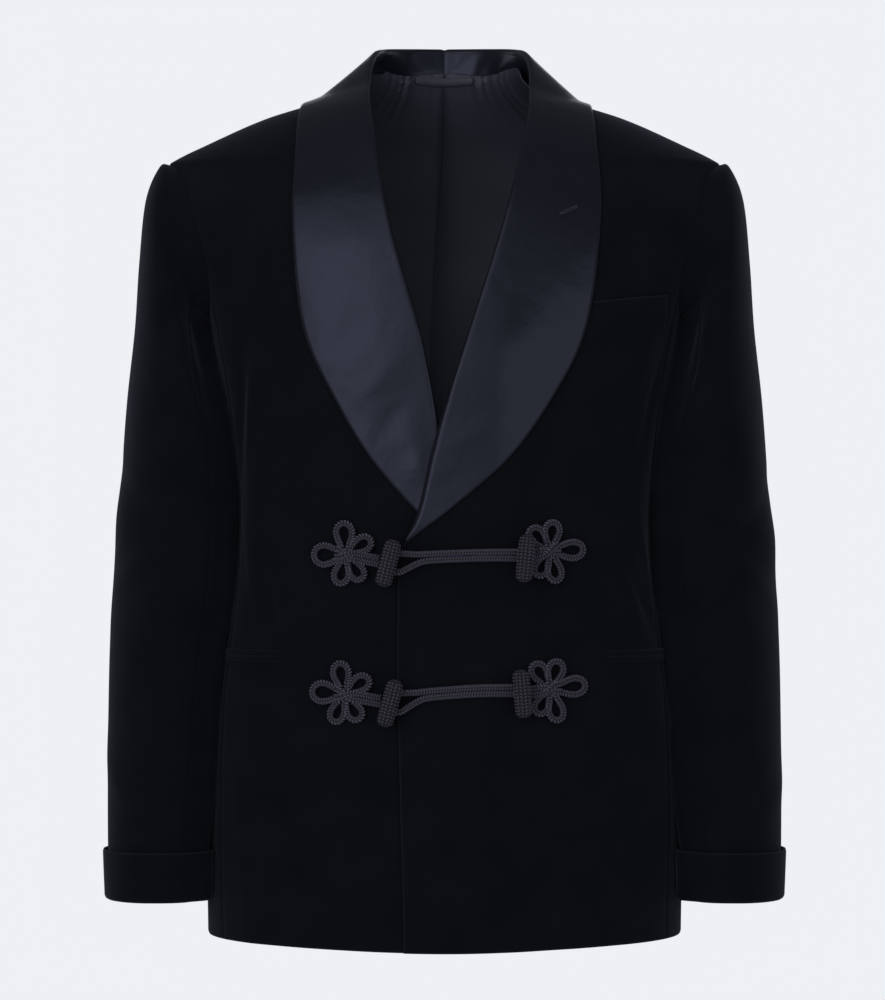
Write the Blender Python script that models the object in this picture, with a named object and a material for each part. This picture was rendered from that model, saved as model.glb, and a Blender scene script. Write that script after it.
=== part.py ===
"""Velvet evening jacket with a satin shawl collar, turned-back cuffs and two rows of corded frogs.

The jacket keeps its worn, hollow form: every panel is a thin wall on one body form, and all that lies
on a panel is made from that panel's points, moved out. Tables and sizes are in millimetres and degrees.
+X is the wearer's left, the front faces -Y, +Z is up, and the origin is the middle of the neck's base.
"""
import math

import bmesh
import bpy
from mathutils import Vector

MM = 0.001

# Walls and seams
VELVET = 2.0
SATIN = 1.6
LINING = 1.0
SEAM = 0.3
LAYER = 0.9              # room between a panel and what lies on it
COLLAR_LAYER = 1.6
SLEEVE_ROOM = 3.6        # room between a hanging sleeve and the body, with the pocket's jets in it

# Levels
HEM_Z = -700.5
HEM_RISE = 6.0           # the hem is this much higher at the sides
SHOULDER_TIP_Z = -52.0
ARMPIT_Z = -195.0
NECK_POINT_Z = 14.0
NAPE_Z = 30.0
NECK_FREE = 14.0         # over this height above the neck point the collar stands free

# Armhole: how far it turns forward and back of the side, and where the underarm panel meets it
ARMHOLE_FRONT = 15.5
ARMHOLE_BACK = 14.0
ARMHOLE_SKEW = 0.2
ARMHOLE_STEP = 15.0      # every piece that meets the armhole has its points this far apart on it
UNDERARM_TURN = 120.0

# The left front laps over the right one
LAP_LIFT = 6.4           # over the lower lapel
LAP_LOW_LIFT = 3.4       # over the plain front
LAP_LOW_FROM_Z, LAP_LOW_TO_Z = -345.0, -378.0
LAP_FULL_X = 42.0
LAP_NONE_X = 95.0
LAP_TOP_Z = -150.0
LAP_DEEP_Z = -230.0

# Sleeve and turned-back cuff
SLEEVE_FREE_Z = -200.0   # below this the body begins to hold the sleeve off
SLEEVE_HELD_Z = -250.0   # and below this it does so fully
CUFF_BLEND = 40.0
CUFF_TOP_Z = -623.0
CUFF_BOTTOM_Z = -664.5
CUFF_WALL = 2.4
CUFF_FLARE = 1.0

# Pockets
JET_TALL = 5.0
JET_WALL = 1.6
JET_Z = -461.0
JET_FROM, JET_TO = 53.5, 95.0
WELT_WALL = 1.8
WELT_TALL = 27.0
WELT_TOP_Z = -164.5
WELT_DROP = 7.5          # fall of the welt towards the lapel
WELT_OUTER_X = 182.0
WELT_INNER_X = 120.5

# Frogs
CORD_RADIUS = 2.4
CORD_SIDES = 6
SHANK_SPREAD = 2.6
SHANK_SHORT = 8.7        # how far a right rosette's shank ends short of the middle of its toggle
PETAL_ROOT = 4.5         # where a petal's cord leaves the hub, and its half width there
PETAL_ROOT_SHARE = 0.45
HUB_RADIUS = 8.5
HUB_TALL = 5.2
TOGGLE_RADIUS = 7.6
TOGGLE_HALF = 19.0
LOOP_DROP_X, LOOP_DROP = -39.0, 7.0   # where the loop comes down from the lapped front
LOOP_NOSE = 1.8          # how far the loop's nose passes the middle of its toggle
LOOP_RAISE = 2.6         # how far the loop's middle is above the middle of the toggles
LOOP_SHORT = 1.6         # how far the loop ends short of the middle of the other toggle

# Hanger loop
HANGER_HALF_TURN = 25.0
HANGER_Z = 21.5
HANGER_TALL = 6.5
HANGER_WALL = 1.4
HANGER_BOW = 2.2

# Body form: height, half width, depth to the front, depth to the back, squareness of the section
BODY_SECTIONS = [
    (-700, 198, 122, 122, 2.5),
    (-627, 199, 122, 122, 2.5),
    (-569, 198, 122, 121, 2.5),
    (-501, 194, 120, 117, 2.5),
    (-451, 187, 117, 112, 2.5),
    (-400, 180, 114, 107, 2.5),
    (-347, 177, 113, 104, 2.5),
    (-273, 183, 116, 106, 2.5),
    (-195, 196, 120, 112, 2.45),
    (-160, 206, 119, 113, 2.4),
    (-137, 213, 117, 113, 2.35),
    (-97, 226, 110, 109, 2.2),
    (-52, 231, 93, 98, 1.8),
    (-30, 181, 82, 90, 1.8),
    (0, 108, 60, 74, 1.8),
    (14, 75, 48, 66, 1.9),
    (26, 66, 42, 61, 2.0),
]

# Body folds: side, angle, height, half width round the body, half length, rise
BODY_FOLDS = [
    (-1, 50, -418, 5.0, 48, 3.4),
    (-1, 62, -440, 4.0, 40, -2.6),
    (-1, 66, -330, 5.0, 70, 2.6),
    (1, 64, -405, 4.5, 46, 3.4),
    (1, 55, -420, 5.0, 40, -2.4),
    (1, 68, -320, 5.0, 70, 2.4),
    (-1, 132, -340, 7.0, 60, 3.0),
    (1, 138, -350, 7.0, 55, 3.0),
    (-1, 120, -230, 5.0, 70, 2.8),
    (1, 121, -225, 5.0, 65, 2.8),
]

# Front edge and roll line of either front: height, distance past the centre on its own side
FRONT_EDGE = [
    (-700, -33.0),
    (-568, -36.0),
    (-465, -38.0),
    (-382, -37.5),
    (-362, -29.0),
    (-293, -12.0),
    (-249, 0.4),
    (-194, 20.6),
    (-120, 44.0),
    (-63, 59.0),
    (-13, 69.0),
    (14, 75.0),
]

# Seams of the underarm panel: height, angle of the front seam, angle of the back seam
SIDE_SEAMS = [
    (-700, 71.0, 109.0),
    (-500, 72.5, 107.5),
    (-347, 74.0, 106.0),
]

# Sleeve rings: outer edge x, z; inner edge x, z; middle y; depth to the front, to the back
SLEEVE_RINGS = [
    (238.5, -54, 200, -193, 0, 54, 53),
    (247, -82, 203, -203, 0, 63, 61),
    (255, -135, 198, -226, 0, 70, 68),
    (259.5, -190, 189, -254, -2, 72, 71),
    (266, -250, 180, -292, -3, 70, 70),
    (271, -317, 175, -340, -4, 66, 68),
    (276, -384, 177, -395, -8, 62, 66),
    (279.5, -451, 185, -456, -14, 58, 62),
    (280.5, -518, 192, -520, -20, 55, 57),
    (280.5, -585, 197, -586, -25, 52, 53),
    (280, -630, 202, -630, -28, 49, 50),
    (279.5, -663, 203, -663, -29, 48, 49),
]

# Sleeve folds: side, turn round the arm, place along it, half width round, half length along, rise
SLEEVE_FOLDS = [
    (1, 60, 0.47, 26, 0.035, 3.0),
    (1, 30, 0.56, 30, 0.030, 2.4),
    (1, 80, 0.63, 28, 0.035, 2.8),
    (-1, 64, 0.45, 26, 0.035, 3.0),
    (-1, 36, 0.54, 30, 0.030, 2.4),
    (-1, 84, 0.62, 28, 0.035, 2.8),
]

SLEEVE_INNER_SQUARE = 3.0   # the inner half of a ring is flattened along the body
UNDERARM_SHARE = 1.4        # how soon round the armhole the sleeve's wall leaves the body's
SLEEVE_FRONT_SEAM = 120.0
SLEEVE_BACK_SEAM = 255.0

# Shawl collar from centre back to the break: roll x, y, z; edge x, y, z; roll x and edge x of the right half
COLLAR_STATIONS = [
    (0, 66, 53, 0, 78, -6, 0, 0),
    (35, 58, 52.5, 43, 72, -6, 32.5, 42),
    (59, 33, 50, 89, 51, -7, 51.5, 86),
    (68.5, 4, 44, 119, 8, -5, 58.5, 115),
    (72, -22, 27, 121, -18, -9, 62, 117.5),
    (70, -48, 0, 121.5, -36, -17, 61.5, 119),
    (66, -75, -32, 124, -66, -42, 57, 121),
    (59, -93, -63, 126, -79, -66, 52.5, 122),
    (44, -112.5, -119, 126, -98, -112, 41.5, 123),
    (20, -120, -194, 114.7, -106, -194, 20, 114.7),
    (0.5, -117, -249, 88, -110, -249, 0.5, 90),
    (-12, -115, -293, 58, -113, -297, -12, 62),
    (-23, -113, -338, 14, -113.5, -338, -23, 27),
    (-28, -113, -359, -20, -113, -362, -28, -4),
]
ROLL_PUFF = 3.0
STAND_STATIONS = 5       # the stand ends at this collar station

# Frogs: name, side it lies on, rosette x, z, toggle x, z, lean of the toggle, room under the rosette and
# height of the toggle's axis over the front
FROGS = [
    ("frog_upper_right", -1, -79.0, -378.0, -44.2, -385.0, 10.0, 0.9, 16.0),
    ("frog_upper_left", 1, 84.0, -375.0, 63.3, -381.0, 6.0, 0.9, 14.3),
    ("frog_lower_right", -1, -79.0, -491.5, -43.0, -498.0, 11.5, 0.6, 15.7),
    ("frog_lower_left", 1, 84.0, -487.0, 61.3, -490.5, -4.5, 0.8, 13.9),
]
LOOP_ROOM = {"frog_upper_loop": 1.8, "frog_lower_loop": 1.1}

# Either cord of a loop between its two toggles: x, spread from the loop's middle, share of the way down to
# the right toggle's height
LOOP_ROUTE = [(30.0, 2.7, 0.0), (0.0, 2.7, 0.3), (-18.0, 3.3, 0.6), (-29.0, 4.8, 0.9), (-36.0, 6.2, 1.0)]
LOOP_NOSE_ROUND = (2.4, 4.6)   # where the nose begins to close, and the spread there

# Rosette petals in turning order from the toggle: direction, length, half width
PETALS = {
    "frog_upper_right": [
        (33, 24.5, 5.2), (95, 27.8, 5.6), (181, 27.0, 6.2), (257, 25.5, 4.8), (302, 25.5, 4.8),
    ],
    "frog_upper_left": [
        (244, 24.0, 4.6), (284, 27.0, 4.8), (2, 29.2, 5.6), (82, 25.2, 5.2), (130, 25.2, 5.0),
    ],
    "frog_lower_right": [
        (38, 24.0, 5.2), (102, 28.0, 5.6), (174, 29.0, 6.0), (246, 25.0, 4.8), (299, 24.5, 4.8),
    ],
    "frog_lower_left": [
        (244, 23.0, 4.6), (285, 28.0, 4.8), (6, 30.8, 5.6), (73, 24.8, 5.2), (121, 25.2, 5.0),
    ],
}

# Petal outline: share of its length, share of its half width
PETAL_SHAPE = [(0.45, 0.72), (0.72, 1.0), (0.93, 0.7)]

# Hub of a rosette: share of its height, share of its radius
HUB_DOME = [(0.0, 0.86), (0.45, 1.0), (0.85, 0.75), (1.0, 0.4)]

# Toggle barrel: place along its axis, radius, both as shares
BARREL = [(-1.0, 0.48), (-0.92, 0.8), (-0.62, 0.97), (0.0, 1.0), (0.62, 0.97), (0.92, 0.8), (1.0, 0.48)]

# Cloths: linear colour, roughness
CLOTHS = {
    "velvet": ((0.006, 0.008, 0.019), 0.9),
    "satin": ((0.016, 0.019, 0.034), 0.35),
    "lining": ((0.012, 0.013, 0.02), 0.5),
    "braid": ((0.014, 0.015, 0.028), 0.7),
}
LINING_IN = 2.0          # the lining ends this far inside the back's rim

# Fineness of the grids
FRONT_COLUMNS = 9
BACK_COLUMNS = 7
LOWER_ROWS = 14          # rows of a panel below the armhole
UPPER_ROWS = 8           # rows of a front or back beside the armhole
NECK_ROWS = 5            # rows of the back that end on the neckline
LINING_FROM_ROW = 5
SLEEVE_ROWS = 13
CUFF_COLUMNS, CUFF_ROWS = 24, 2
COLLAR_COLUMNS, COLLAR_ROWS = 6, 24
STAND_COLUMNS, STAND_ROWS = 2, 8
JET_COLUMNS = 9
WELT_COLUMNS, WELT_ROWS = 6, 3
HANGER_COLUMNS = 8
PETAL_STEPS = 8
SHANK_STEPS = 3
LOOP_STEPS = 30
HUB_SIDES = 12
TOGGLE_SIDES = 10


class Table:
    """Smooth curves through the columns of a short table, read by the value in its first column."""

    def __init__(self, rows):
        self.keys = [row[0] for row in rows]
        self.columns = [[row[i] for row in rows] for i in range(1, len(rows[0]))]

    def slope(self, column, i):
        if i == 0 or i == len(self.keys) - 1:
            return 0.0
        before = (column[i] - column[i - 1]) / (self.keys[i] - self.keys[i - 1])
        after = (column[i + 1] - column[i]) / (self.keys[i + 1] - self.keys[i])
        if before * after <= 0:
            return 0.0
        return 2 * before * after / (before + after)

    def at(self, key):
        key = min(max(key, self.keys[0]), self.keys[-1])
        i = 0
        while i < len(self.keys) - 2 and key > self.keys[i + 1]:
            i += 1
        span = self.keys[i + 1] - self.keys[i]
        t = (key - self.keys[i]) / span
        values = []
        for column in self.columns:
            start, end = column[i], column[i + 1]
            leave, reach = self.slope(column, i) * span, self.slope(column, i + 1) * span
            bend = (3 * t * t - 2 * t ** 3) * (end - start)
            values.append(start + bend + (t ** 3 - 2 * t * t + t) * leave + (t ** 3 - t * t) * reach)
        return values


BODY = Table(BODY_SECTIONS)
EDGE = Table(FRONT_EDGE)


def mix(a, b, t):
    return a + (b - a) * t


def ease(t):
    t = min(max(t, 0.0), 1.0)
    return t * t * (3 - 2 * t)


def smooth_path(points, t):
    """Point at t from 0 to 1 on a smooth curve through the points."""
    place = min(max(t, 0.0), 1.0) * (len(points) - 1)
    i = min(int(place), len(points) - 2)
    f = place - i
    here, after = points[i], points[i + 1]
    before = points[i - 1] if i > 0 else 2 * here - after
    beyond = points[i + 2] if i + 2 < len(points) else 2 * after - here
    bend = (2 * before - 5 * here + 4 * after - beyond) * f + (3 * here - before - 3 * after + beyond) * f * f
    return here + 0.5 * f * (after - before + bend)


def body_fold(side, angle, z):
    rise = 0.0
    for fold_side, fold_angle, fold_z, half_turn, half_length, height in BODY_FOLDS:
        if fold_side == side:
            off = ((angle - fold_angle) / half_turn) ** 2 + ((z - fold_z) / half_length) ** 2
            rise += height * math.exp(-off)
    return rise


def form_point(side, angle, z):
    """Point of the body form: angle 0 is centre front, 90 the side and 180 centre back."""
    half_width, front, back, square = BODY.at(z)
    sine, cosine = math.sin(math.radians(angle)), math.cos(math.radians(angle))
    depth = front if cosine > 0 else back
    reach = ((abs(sine) / half_width) ** square + (abs(cosine) / depth) ** square) ** (-1 / square)
    reach += body_fold(side, angle, z)
    return Vector((side * reach * sine, -reach * cosine, z))


def form_normal(side, angle, z):
    around = form_point(side, angle + 2, z) - form_point(side, angle - 2, z)
    upward = form_point(side, angle, z + 3) - form_point(side, angle, z - 3)
    return side * around.cross(upward).normalized()


def moved_out(side, angle, z, out):
    return form_point(side, angle, z) + form_normal(side, angle, z) * out


def front_angle(x, z):
    """Angle of the form's front at a distance x from the centre, on its own side."""
    half_width, front, _, square = BODY.at(z)
    share = min(abs(x) / half_width, 1.0)
    return math.degrees(math.atan2(x, front * (1 - share ** square) ** (1 / square)))


def lap_lift(side, x, z):
    """How far the left front stands off the form where it laps over the right one."""
    if side < 0:
        return 0.0
    across = ease((LAP_NONE_X - x) / (LAP_NONE_X - LAP_FULL_X))
    lift = mix(LAP_LIFT, LAP_LOW_LIFT, ease((LAP_LOW_FROM_Z - z) / (LAP_LOW_FROM_Z - LAP_LOW_TO_Z)))
    return lift * across * ease((LAP_TOP_Z - z) / (LAP_TOP_Z - LAP_DEEP_Z))


def on_front(side, x, z, out):
    """Point above a front panel, x measured on its own side."""
    return moved_out(side, front_angle(x, z), z, out + lap_lift(side, x, z))


def armhole(turn):
    """Angle and height on the armhole: turn 0 is the shoulder tip, 90 the front, 180 the armpit."""
    sine, cosine = math.sin(math.radians(turn)), math.cos(math.radians(turn))
    swing = ARMHOLE_FRONT if sine > 0 else ARMHOLE_BACK
    z = mix(ARMPIT_Z, SHOULDER_TIP_Z, 0.5 + 0.5 * cosine)
    return 90 - swing * sine * (1 - ARMHOLE_SKEW * cosine), z


UNDERARM_Z = armhole(UNDERARM_TURN)[1]
SEAMS = Table(SIDE_SEAMS + [(UNDERARM_Z, armhole(UNDERARM_TURN)[0], armhole(-UNDERARM_TURN)[0])])


def grid_normals(points, closed=False):
    """Normals of a grid of points, from its neighbours along the rows and across them."""
    last_row, columns = len(points) - 1, len(points[0])
    normals = []
    for j, row in enumerate(points):
        line = []
        for i in range(columns):
            left = points[j][(i - 1) % columns] if closed else points[j][max(i - 1, 0)]
            right = points[j][(i + 1) % columns] if closed else points[j][min(i + 1, columns - 1)]
            below, above = points[max(j - 1, 0)][i], points[min(j + 1, last_row)][i]
            line.append((right - left).cross(above - below).normalized())
        normals.append(line)
    return normals


def trimmed(points, gap, closed=False):
    """The same grid with its rim drawn in by the gap, which leaves the seam open."""
    rows = [[p.copy() for p in row] for row in points]
    for edge, inside in ((0, 1), (-1, -2)):
        for i in range(len(points[0])):
            rows[edge][i] += (points[inside][i] - points[edge][i]).normalized() * gap
        if not closed:
            for j in range(len(points)):
                rows[j][edge] += (points[j][inside] - points[j][edge]).normalized() * gap
    return rows


def wall(name, points, normals, thickness, material, closed=False, gap=SEAM / 2):
    """Closed wall: the grid is its outside, and its inside lies one thickness down the normals."""
    outside = trimmed(points, gap, closed)
    mesh = bmesh.new()
    layers = []
    for depth in (0.0, thickness):
        layer = []
        for row, row_normals in zip(outside, normals):
            layer.append([mesh.verts.new((p - n * depth) * MM) for p, n in zip(row, row_normals)])
        layers.append(layer)
    outer, inner = layers
    rows, columns = len(outer), len(outer[0])
    spans = columns if closed else columns - 1
    for j in range(rows - 1):
        for i in range(spans):
            k = (i + 1) % columns
            mesh.faces.new((outer[j][i], outer[j][k], outer[j + 1][k], outer[j + 1][i]))
            mesh.faces.new((inner[j][i], inner[j + 1][i], inner[j + 1][k], inner[j][k]))
    for j in (0, rows - 1):
        for i in range(spans):
            k = (i + 1) % columns
            mesh.faces.new((outer[j][i], outer[j][k], inner[j][k], inner[j][i]))
    if not closed:
        for i in (0, columns - 1):
            for j in range(rows - 1):
                mesh.faces.new((outer[j][i], outer[j + 1][i], inner[j + 1][i], inner[j][i]))
    bmesh.ops.recalc_face_normals(mesh, faces=mesh.faces)
    return finish(name, mesh, material)


def finish(name, mesh, material):
    """Object of a node's name from a modelled mesh, shaded smooth up to its edges."""
    data = bpy.data.meshes.new(name)
    mesh.to_mesh(data)
    mesh.free()
    data.shade_smooth()
    data.set_sharp_from_angle(angle=math.radians(40))
    data.materials.append(material)
    thing = bpy.data.objects.new(name, data)
    bpy.context.collection.objects.link(thing)
    return thing


def surface(name, colour, roughness):
    """Principled material of one cloth."""
    made = bpy.data.materials.new(name)
    made.use_nodes = True
    shader = made.node_tree.nodes["Principled BSDF"]
    shader.inputs["Base Color"].default_value = (*colour, 1.0)
    shader.inputs["Roughness"].default_value = roughness
    shader.inputs["Metallic"].default_value = 0.0
    return made


def side_name(side):
    return "left" if side > 0 else "right"


def row_of_places(inner, outer, columns):
    """Angles and heights evenly between the two ends of a row."""
    shares = [u / columns for u in range(columns + 1)]
    return [(mix(inner[0], outer[0], share), mix(inner[1], outer[1], share)) for share in shares]


def hem_z(angle):
    return HEM_Z + HEM_RISE * math.sin(math.radians(angle)) ** 2


def front_places():
    """Angle and height of each point of a front, row by row from the hem to the shoulder seam."""
    rows = []
    for j in range(LOWER_ROWS + UPPER_ROWS + 1):
        low, high = min(j / LOWER_ROWS, 1.0), max(j - LOWER_ROWS, 0) / UPPER_ROWS
        level = mix(hem_z(SEAMS.at(HEM_Z)[0]), UNDERARM_Z, low)
        inner_z = mix(mix(HEM_Z, UNDERARM_Z, low), NECK_POINT_Z, high)
        inner = (front_angle(EDGE.at(inner_z)[0], inner_z), inner_z)
        outer = armhole(mix(UNDERARM_TURN, 0, high)) if high > 0 else (SEAMS.at(level)[0], level)
        rows.append(row_of_places(inner, outer, FRONT_COLUMNS))
    return rows


def back_places():
    """Angle and height of each point of a back half, from the hem to the shoulder seam."""
    rows = []
    rising_rows = UPPER_ROWS - NECK_ROWS
    for j in range(LOWER_ROWS + UPPER_ROWS + 1):
        low, above = min(j / LOWER_ROWS, 1.0), max(j - LOWER_ROWS, 0)
        level = mix(hem_z(SEAMS.at(HEM_Z)[1]), UNDERARM_Z, low)
        neck = max(above - rising_rows, 0) / NECK_ROWS
        rise = mix(mix(HEM_Z, UNDERARM_Z, low), NAPE_Z, min(above / rising_rows, 1.0))
        inner = (mix(180, 90, neck), mix(rise, NECK_POINT_Z, ease(neck)))
        outer = (SEAMS.at(level)[1], level)
        if above > 0:
            outer = armhole(-mix(UNDERARM_TURN, 0, above / UPPER_ROWS))
        rows.append(row_of_places(inner, outer, BACK_COLUMNS))
    return rows


def side_places():
    """Angle and height of each point of an underarm panel, from the hem to the armhole."""
    columns = round((360 - 2 * UNDERARM_TURN) / ARMHOLE_STEP)
    top_angles = SEAMS.at(UNDERARM_Z)
    rows = []
    for j in range(LOWER_ROWS + 1):
        v = j / LOWER_ROWS
        row = []
        for i in range(columns + 1):
            u = i / columns
            top, top_z = armhole(mix(UNDERARM_TURN, 360 - UNDERARM_TURN, u))
            bottom_z = hem_z(mix(*SEAMS.at(HEM_Z), u))
            front_seam, back_seam = SEAMS.at(mix(bottom_z, UNDERARM_Z, v))
            turn_in = (top - mix(*top_angles, u)) * v ** 3
            row.append((mix(front_seam, back_seam, u) + turn_in, mix(bottom_z, top_z, v)))
        rows.append(row)
    return rows


def build_front(side, velvet):
    points, normals = [], []
    for row in front_places():
        lifts = [lap_lift(side, abs(form_point(side, a, z).x) * (1 if a > 0 else -1), z) for a, z in row]
        points.append([moved_out(side, a, z, lift) for (a, z), lift in zip(row, lifts)])
        normals.append([form_normal(side, a, z) for a, z in row])
    wall(f"front_{side_name(side)}", points, normals, VELVET, velvet)


def build_panel(name, side, places, cloth, out=0.0, thickness=VELVET, gap=SEAM / 2):
    points = [[moved_out(side, a, z, out) for a, z in row] for row in places]
    normals = [[form_normal(side, a, z) for a, z in row] for row in places]
    wall(name, points, normals, thickness, cloth, gap=gap)


def sleeve_point(side, turn, along):
    """Outside of a sleeve: turn 0 is the outer edge, 90 the front, 180 the inner edge."""
    sine, cosine = math.sin(math.radians(turn)), math.cos(math.radians(turn))
    line = [form_point(side, *armhole(turn))]
    power = 2 / SLEEVE_INNER_SQUARE if cosine < 0 else 1.0
    forward = math.copysign(abs(sine) ** power, sine)
    outward = math.copysign(abs(cosine) ** power, cosine)
    for outer_x, outer_z, inner_x, inner_z, middle_y, front, back in SLEEVE_RINGS:
        depth = front if sine > 0 else back
        x = mix(inner_x, outer_x, 0.5 + 0.5 * outward)
        z = mix(inner_z, outer_z, 0.5 + 0.5 * outward)
        line.append(Vector((side * x, middle_y - depth * forward, z)))
    place = smooth_path(line, along)
    if place.z > SLEEVE_FREE_Z:
        return place
    held = ease((SLEEVE_FREE_Z - place.z) / (SLEEVE_FREE_Z - SLEEVE_HELD_Z))
    cuff_room = (CUFF_WALL + CUFF_FLARE + 2 * LAYER) * ease((CUFF_TOP_Z + CUFF_BLEND - place.z) / CUFF_BLEND)
    return place.lerp(seated(side, place, SLEEVE_ROOM + cuff_room), held)


def sleeve_fold(side, turn, along):
    rise = 0.0
    for fold_side, fold_turn, fold_along, half_turn, half_along, height in SLEEVE_FOLDS:
        if fold_side == side:
            off = ((turn - fold_turn) / half_turn) ** 2 + ((along - fold_along) / half_along) ** 2
            rise += height * math.exp(-off)
    return rise


def sleeve_normal(side, turn, along):
    """Normal of a sleeve; over the shoulder the armhole has the body's, so both walls end side by side."""
    around = sleeve_point(side, turn + 3, along) - sleeve_point(side, turn - 3, along)
    step = 0.01
    down = sleeve_point(side, turn, min(along + step, 1)) - sleeve_point(side, turn, max(along - step, 0))
    own = side * around.cross(down).normalized()
    if along > 0:
        return own
    under = ease(UNDERARM_SHARE * (-math.cos(math.radians(turn))))
    return form_normal(side, *armhole(turn)).lerp(own, under).normalized()


def sleeve_out(side, turn, along, out):
    rise = out + sleeve_fold(side, turn, along)
    return sleeve_point(side, turn, along) + sleeve_normal(side, turn, along) * rise


def build_sleeve(name, side, start, end, velvet):
    points, normals = [], []
    turns = [start + ARMHOLE_STEP * i for i in range(round((end - start) / ARMHOLE_STEP) + 1)]
    for j in range(SLEEVE_ROWS + 1):
        along = j / SLEEVE_ROWS
        points.append([sleeve_out(side, turn, along, 0) for turn in turns])
        normals.append([sleeve_normal(side, turn, along) for turn in turns])
    wall(name, points, normals, VELVET, velvet)


def along_at(side, turn, z):
    """Place along the sleeve where it is at a height."""
    low, high = 0.5, 1.0
    for _ in range(30):
        middle = 0.5 * (low + high)
        if sleeve_point(side, turn, middle).z > z:
            low = middle
        else:
            high = middle
    return high


def build_cuff(side, velvet):
    points, normals = [], []
    for j in range(CUFF_ROWS + 1):
        v = j / CUFF_ROWS
        row, row_normals = [], []
        for i in range(CUFF_COLUMNS):
            turn = 360 * i / CUFF_COLUMNS
            z = mix(CUFF_BOTTOM_Z, CUFF_TOP_Z, v)
            along = along_at(side, turn, z)
            normal = sleeve_normal(side, turn, along)
            normal.z = 0
            normal.normalize()
            place = sleeve_point(side, turn, along) + normal * (LAYER + CUFF_WALL + CUFF_FLARE * v)
            place.z = z
            row.append(seated(side, place, SLEEVE_ROOM))
            row_normals.append(normal)
        points.append(row)
        normals.append(row_normals)
    wall(f"cuff_{side_name(side)}", points, normals, CUFF_WALL, velvet, closed=True, gap=0)


def seated(side, place, out):
    """The point itself, or pushed out until it is that far off the body and its lap, below the neck."""
    held = 1 - ease((place.z - NECK_POINT_Z) / NECK_FREE)
    for _ in range(4):
        angle = math.degrees(math.atan2(side * place.x, -place.y))
        normal = form_normal(side, angle, place.z)
        lift = lap_lift(side, side * place.x, place.z) if abs(angle) < 90 else 0.0
        short = out + lift - (place - form_point(side, angle, place.z)).dot(normal)
        if short > 0:
            place = place + normal * short * held
    return place


def collar_line(side, kind):
    """Roll line or outer edge of a collar half, from centre back to the break."""
    places = []
    for roll_x, roll_y, roll_z, edge_x, edge_y, edge_z, right_roll_x, right_edge_x in COLLAR_STATIONS:
        if kind == "roll":
            places.append(Vector((side * (roll_x if side > 0 else right_roll_x), roll_y, roll_z)))
        else:
            places.append(Vector((side * (edge_x if side > 0 else right_edge_x), edge_y, edge_z)))
    return places


def build_collar(side, satin):
    roll, edge = collar_line(side, "roll"), collar_line(side, "edge")
    points = []
    for j in range(COLLAR_ROWS + 1):
        s = j / COLLAR_ROWS
        start, end = smooth_path(roll, s), smooth_path(edge, s)
        row = []
        for i in range(COLLAR_COLUMNS + 1):
            u = i / COLLAR_COLUMNS
            puff = ROLL_PUFF * (1 - u) ** 2 * ease(2 - 2.6 * s)
            row.append(seated(side, start.lerp(end, u), COLLAR_LAYER + SATIN + puff))
        points.append(row)
    normals = grid_normals(points)
    for line in normals:
        for i, normal in enumerate(line):
            line[i] = -side * normal
    for normal in normals[0]:
        normal.x = 0
        normal.normalize()
    wall(f"collar_{side_name(side)}", points, normals, SATIN, satin)


def build_stand(side, satin):
    roll = collar_line(side, "roll")[:STAND_STATIONS]
    points, normals = [], []
    for j in range(STAND_ROWS + 1):
        s = j / STAND_ROWS
        top = smooth_path(roll, s)
        angle = mix(180, 91, s)
        bottom_z = mix(NAPE_Z, NECK_POINT_Z, ease((180 - angle) / 90)) + LAYER
        bottom = form_point(side, angle, bottom_z)
        inward = Vector((-top.x, -top.y, 0)).normalized()
        top = top + inward * (SATIN + 2 * SEAM) - Vector((0, 0, SEAM))
        points.append([bottom.lerp(top, i / STAND_COLUMNS) for i in range(STAND_COLUMNS + 1)])
        normals.append([-inward] * (STAND_COLUMNS + 1))
    wall(f"collar_stand_{side_name(side)}", points, normals, SATIN, satin)


def strip(name, side, angles, heights, out, thickness, material):
    """Flat strip on the body form between two angles and two heights."""
    points = [[moved_out(side, a, z, out) for a in angles] for z in heights]
    normals = [[form_normal(side, a, z) for a in angles] for z in heights]
    return wall(name, points, normals, thickness, material)


def build_pocket(side, velvet):
    """Two jets of a hip pocket, one above the other, round the side seam."""
    angles = [mix(JET_FROM, JET_TO, i / JET_COLUMNS) for i in range(JET_COLUMNS + 1)]
    for place, low in (("upper", JET_Z), ("lower", JET_Z - JET_TALL)):
        name = f"hip_jet_{place}_{side_name(side)}"
        strip(name, side, angles, [low, low + JET_TALL], LAYER + JET_WALL, JET_WALL, velvet)


def build_welt(velvet):
    """Breast pocket welt on the left front, slanting down to the lapel."""
    points, normals = [], []
    for j in range(WELT_ROWS + 1):
        row, row_normals = [], []
        for i in range(WELT_COLUMNS + 1):
            share = i / WELT_COLUMNS
            x = mix(WELT_INNER_X, WELT_OUTER_X, share)
            z = WELT_TOP_Z - WELT_DROP * (1 - share) - WELT_TALL * (1 - j / WELT_ROWS)
            angle = front_angle(x, z)
            row.append(moved_out(1, angle, z, LAYER + WELT_WALL))
            row_normals.append(form_normal(1, angle, z))
        points.append(row)
        normals.append(row_normals)
    wall("breast_welt", points, normals, WELT_WALL, velvet)


def tube(mesh, places, steps, outward):
    """Round cord through the places, closed at both ends, added to a mesh."""
    line = [smooth_path(places, i / steps) for i in range(steps + 1)]
    rings = []
    for i, place in enumerate(line):
        ahead = (line[min(i + 1, steps)] - line[max(i - 1, 0)]).normalized()
        raised = (outward - ahead * outward.dot(ahead)).normalized()
        across = ahead.cross(raised)
        ring = []
        for k in range(CORD_SIDES):
            turn = 2 * math.pi * (k + 0.5) / CORD_SIDES
            reach = (raised * math.cos(turn) + across * math.sin(turn)) * CORD_RADIUS
            ring.append(mesh.verts.new((place + reach) * MM))
        rings.append(ring)
    skin(mesh, rings)


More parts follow.
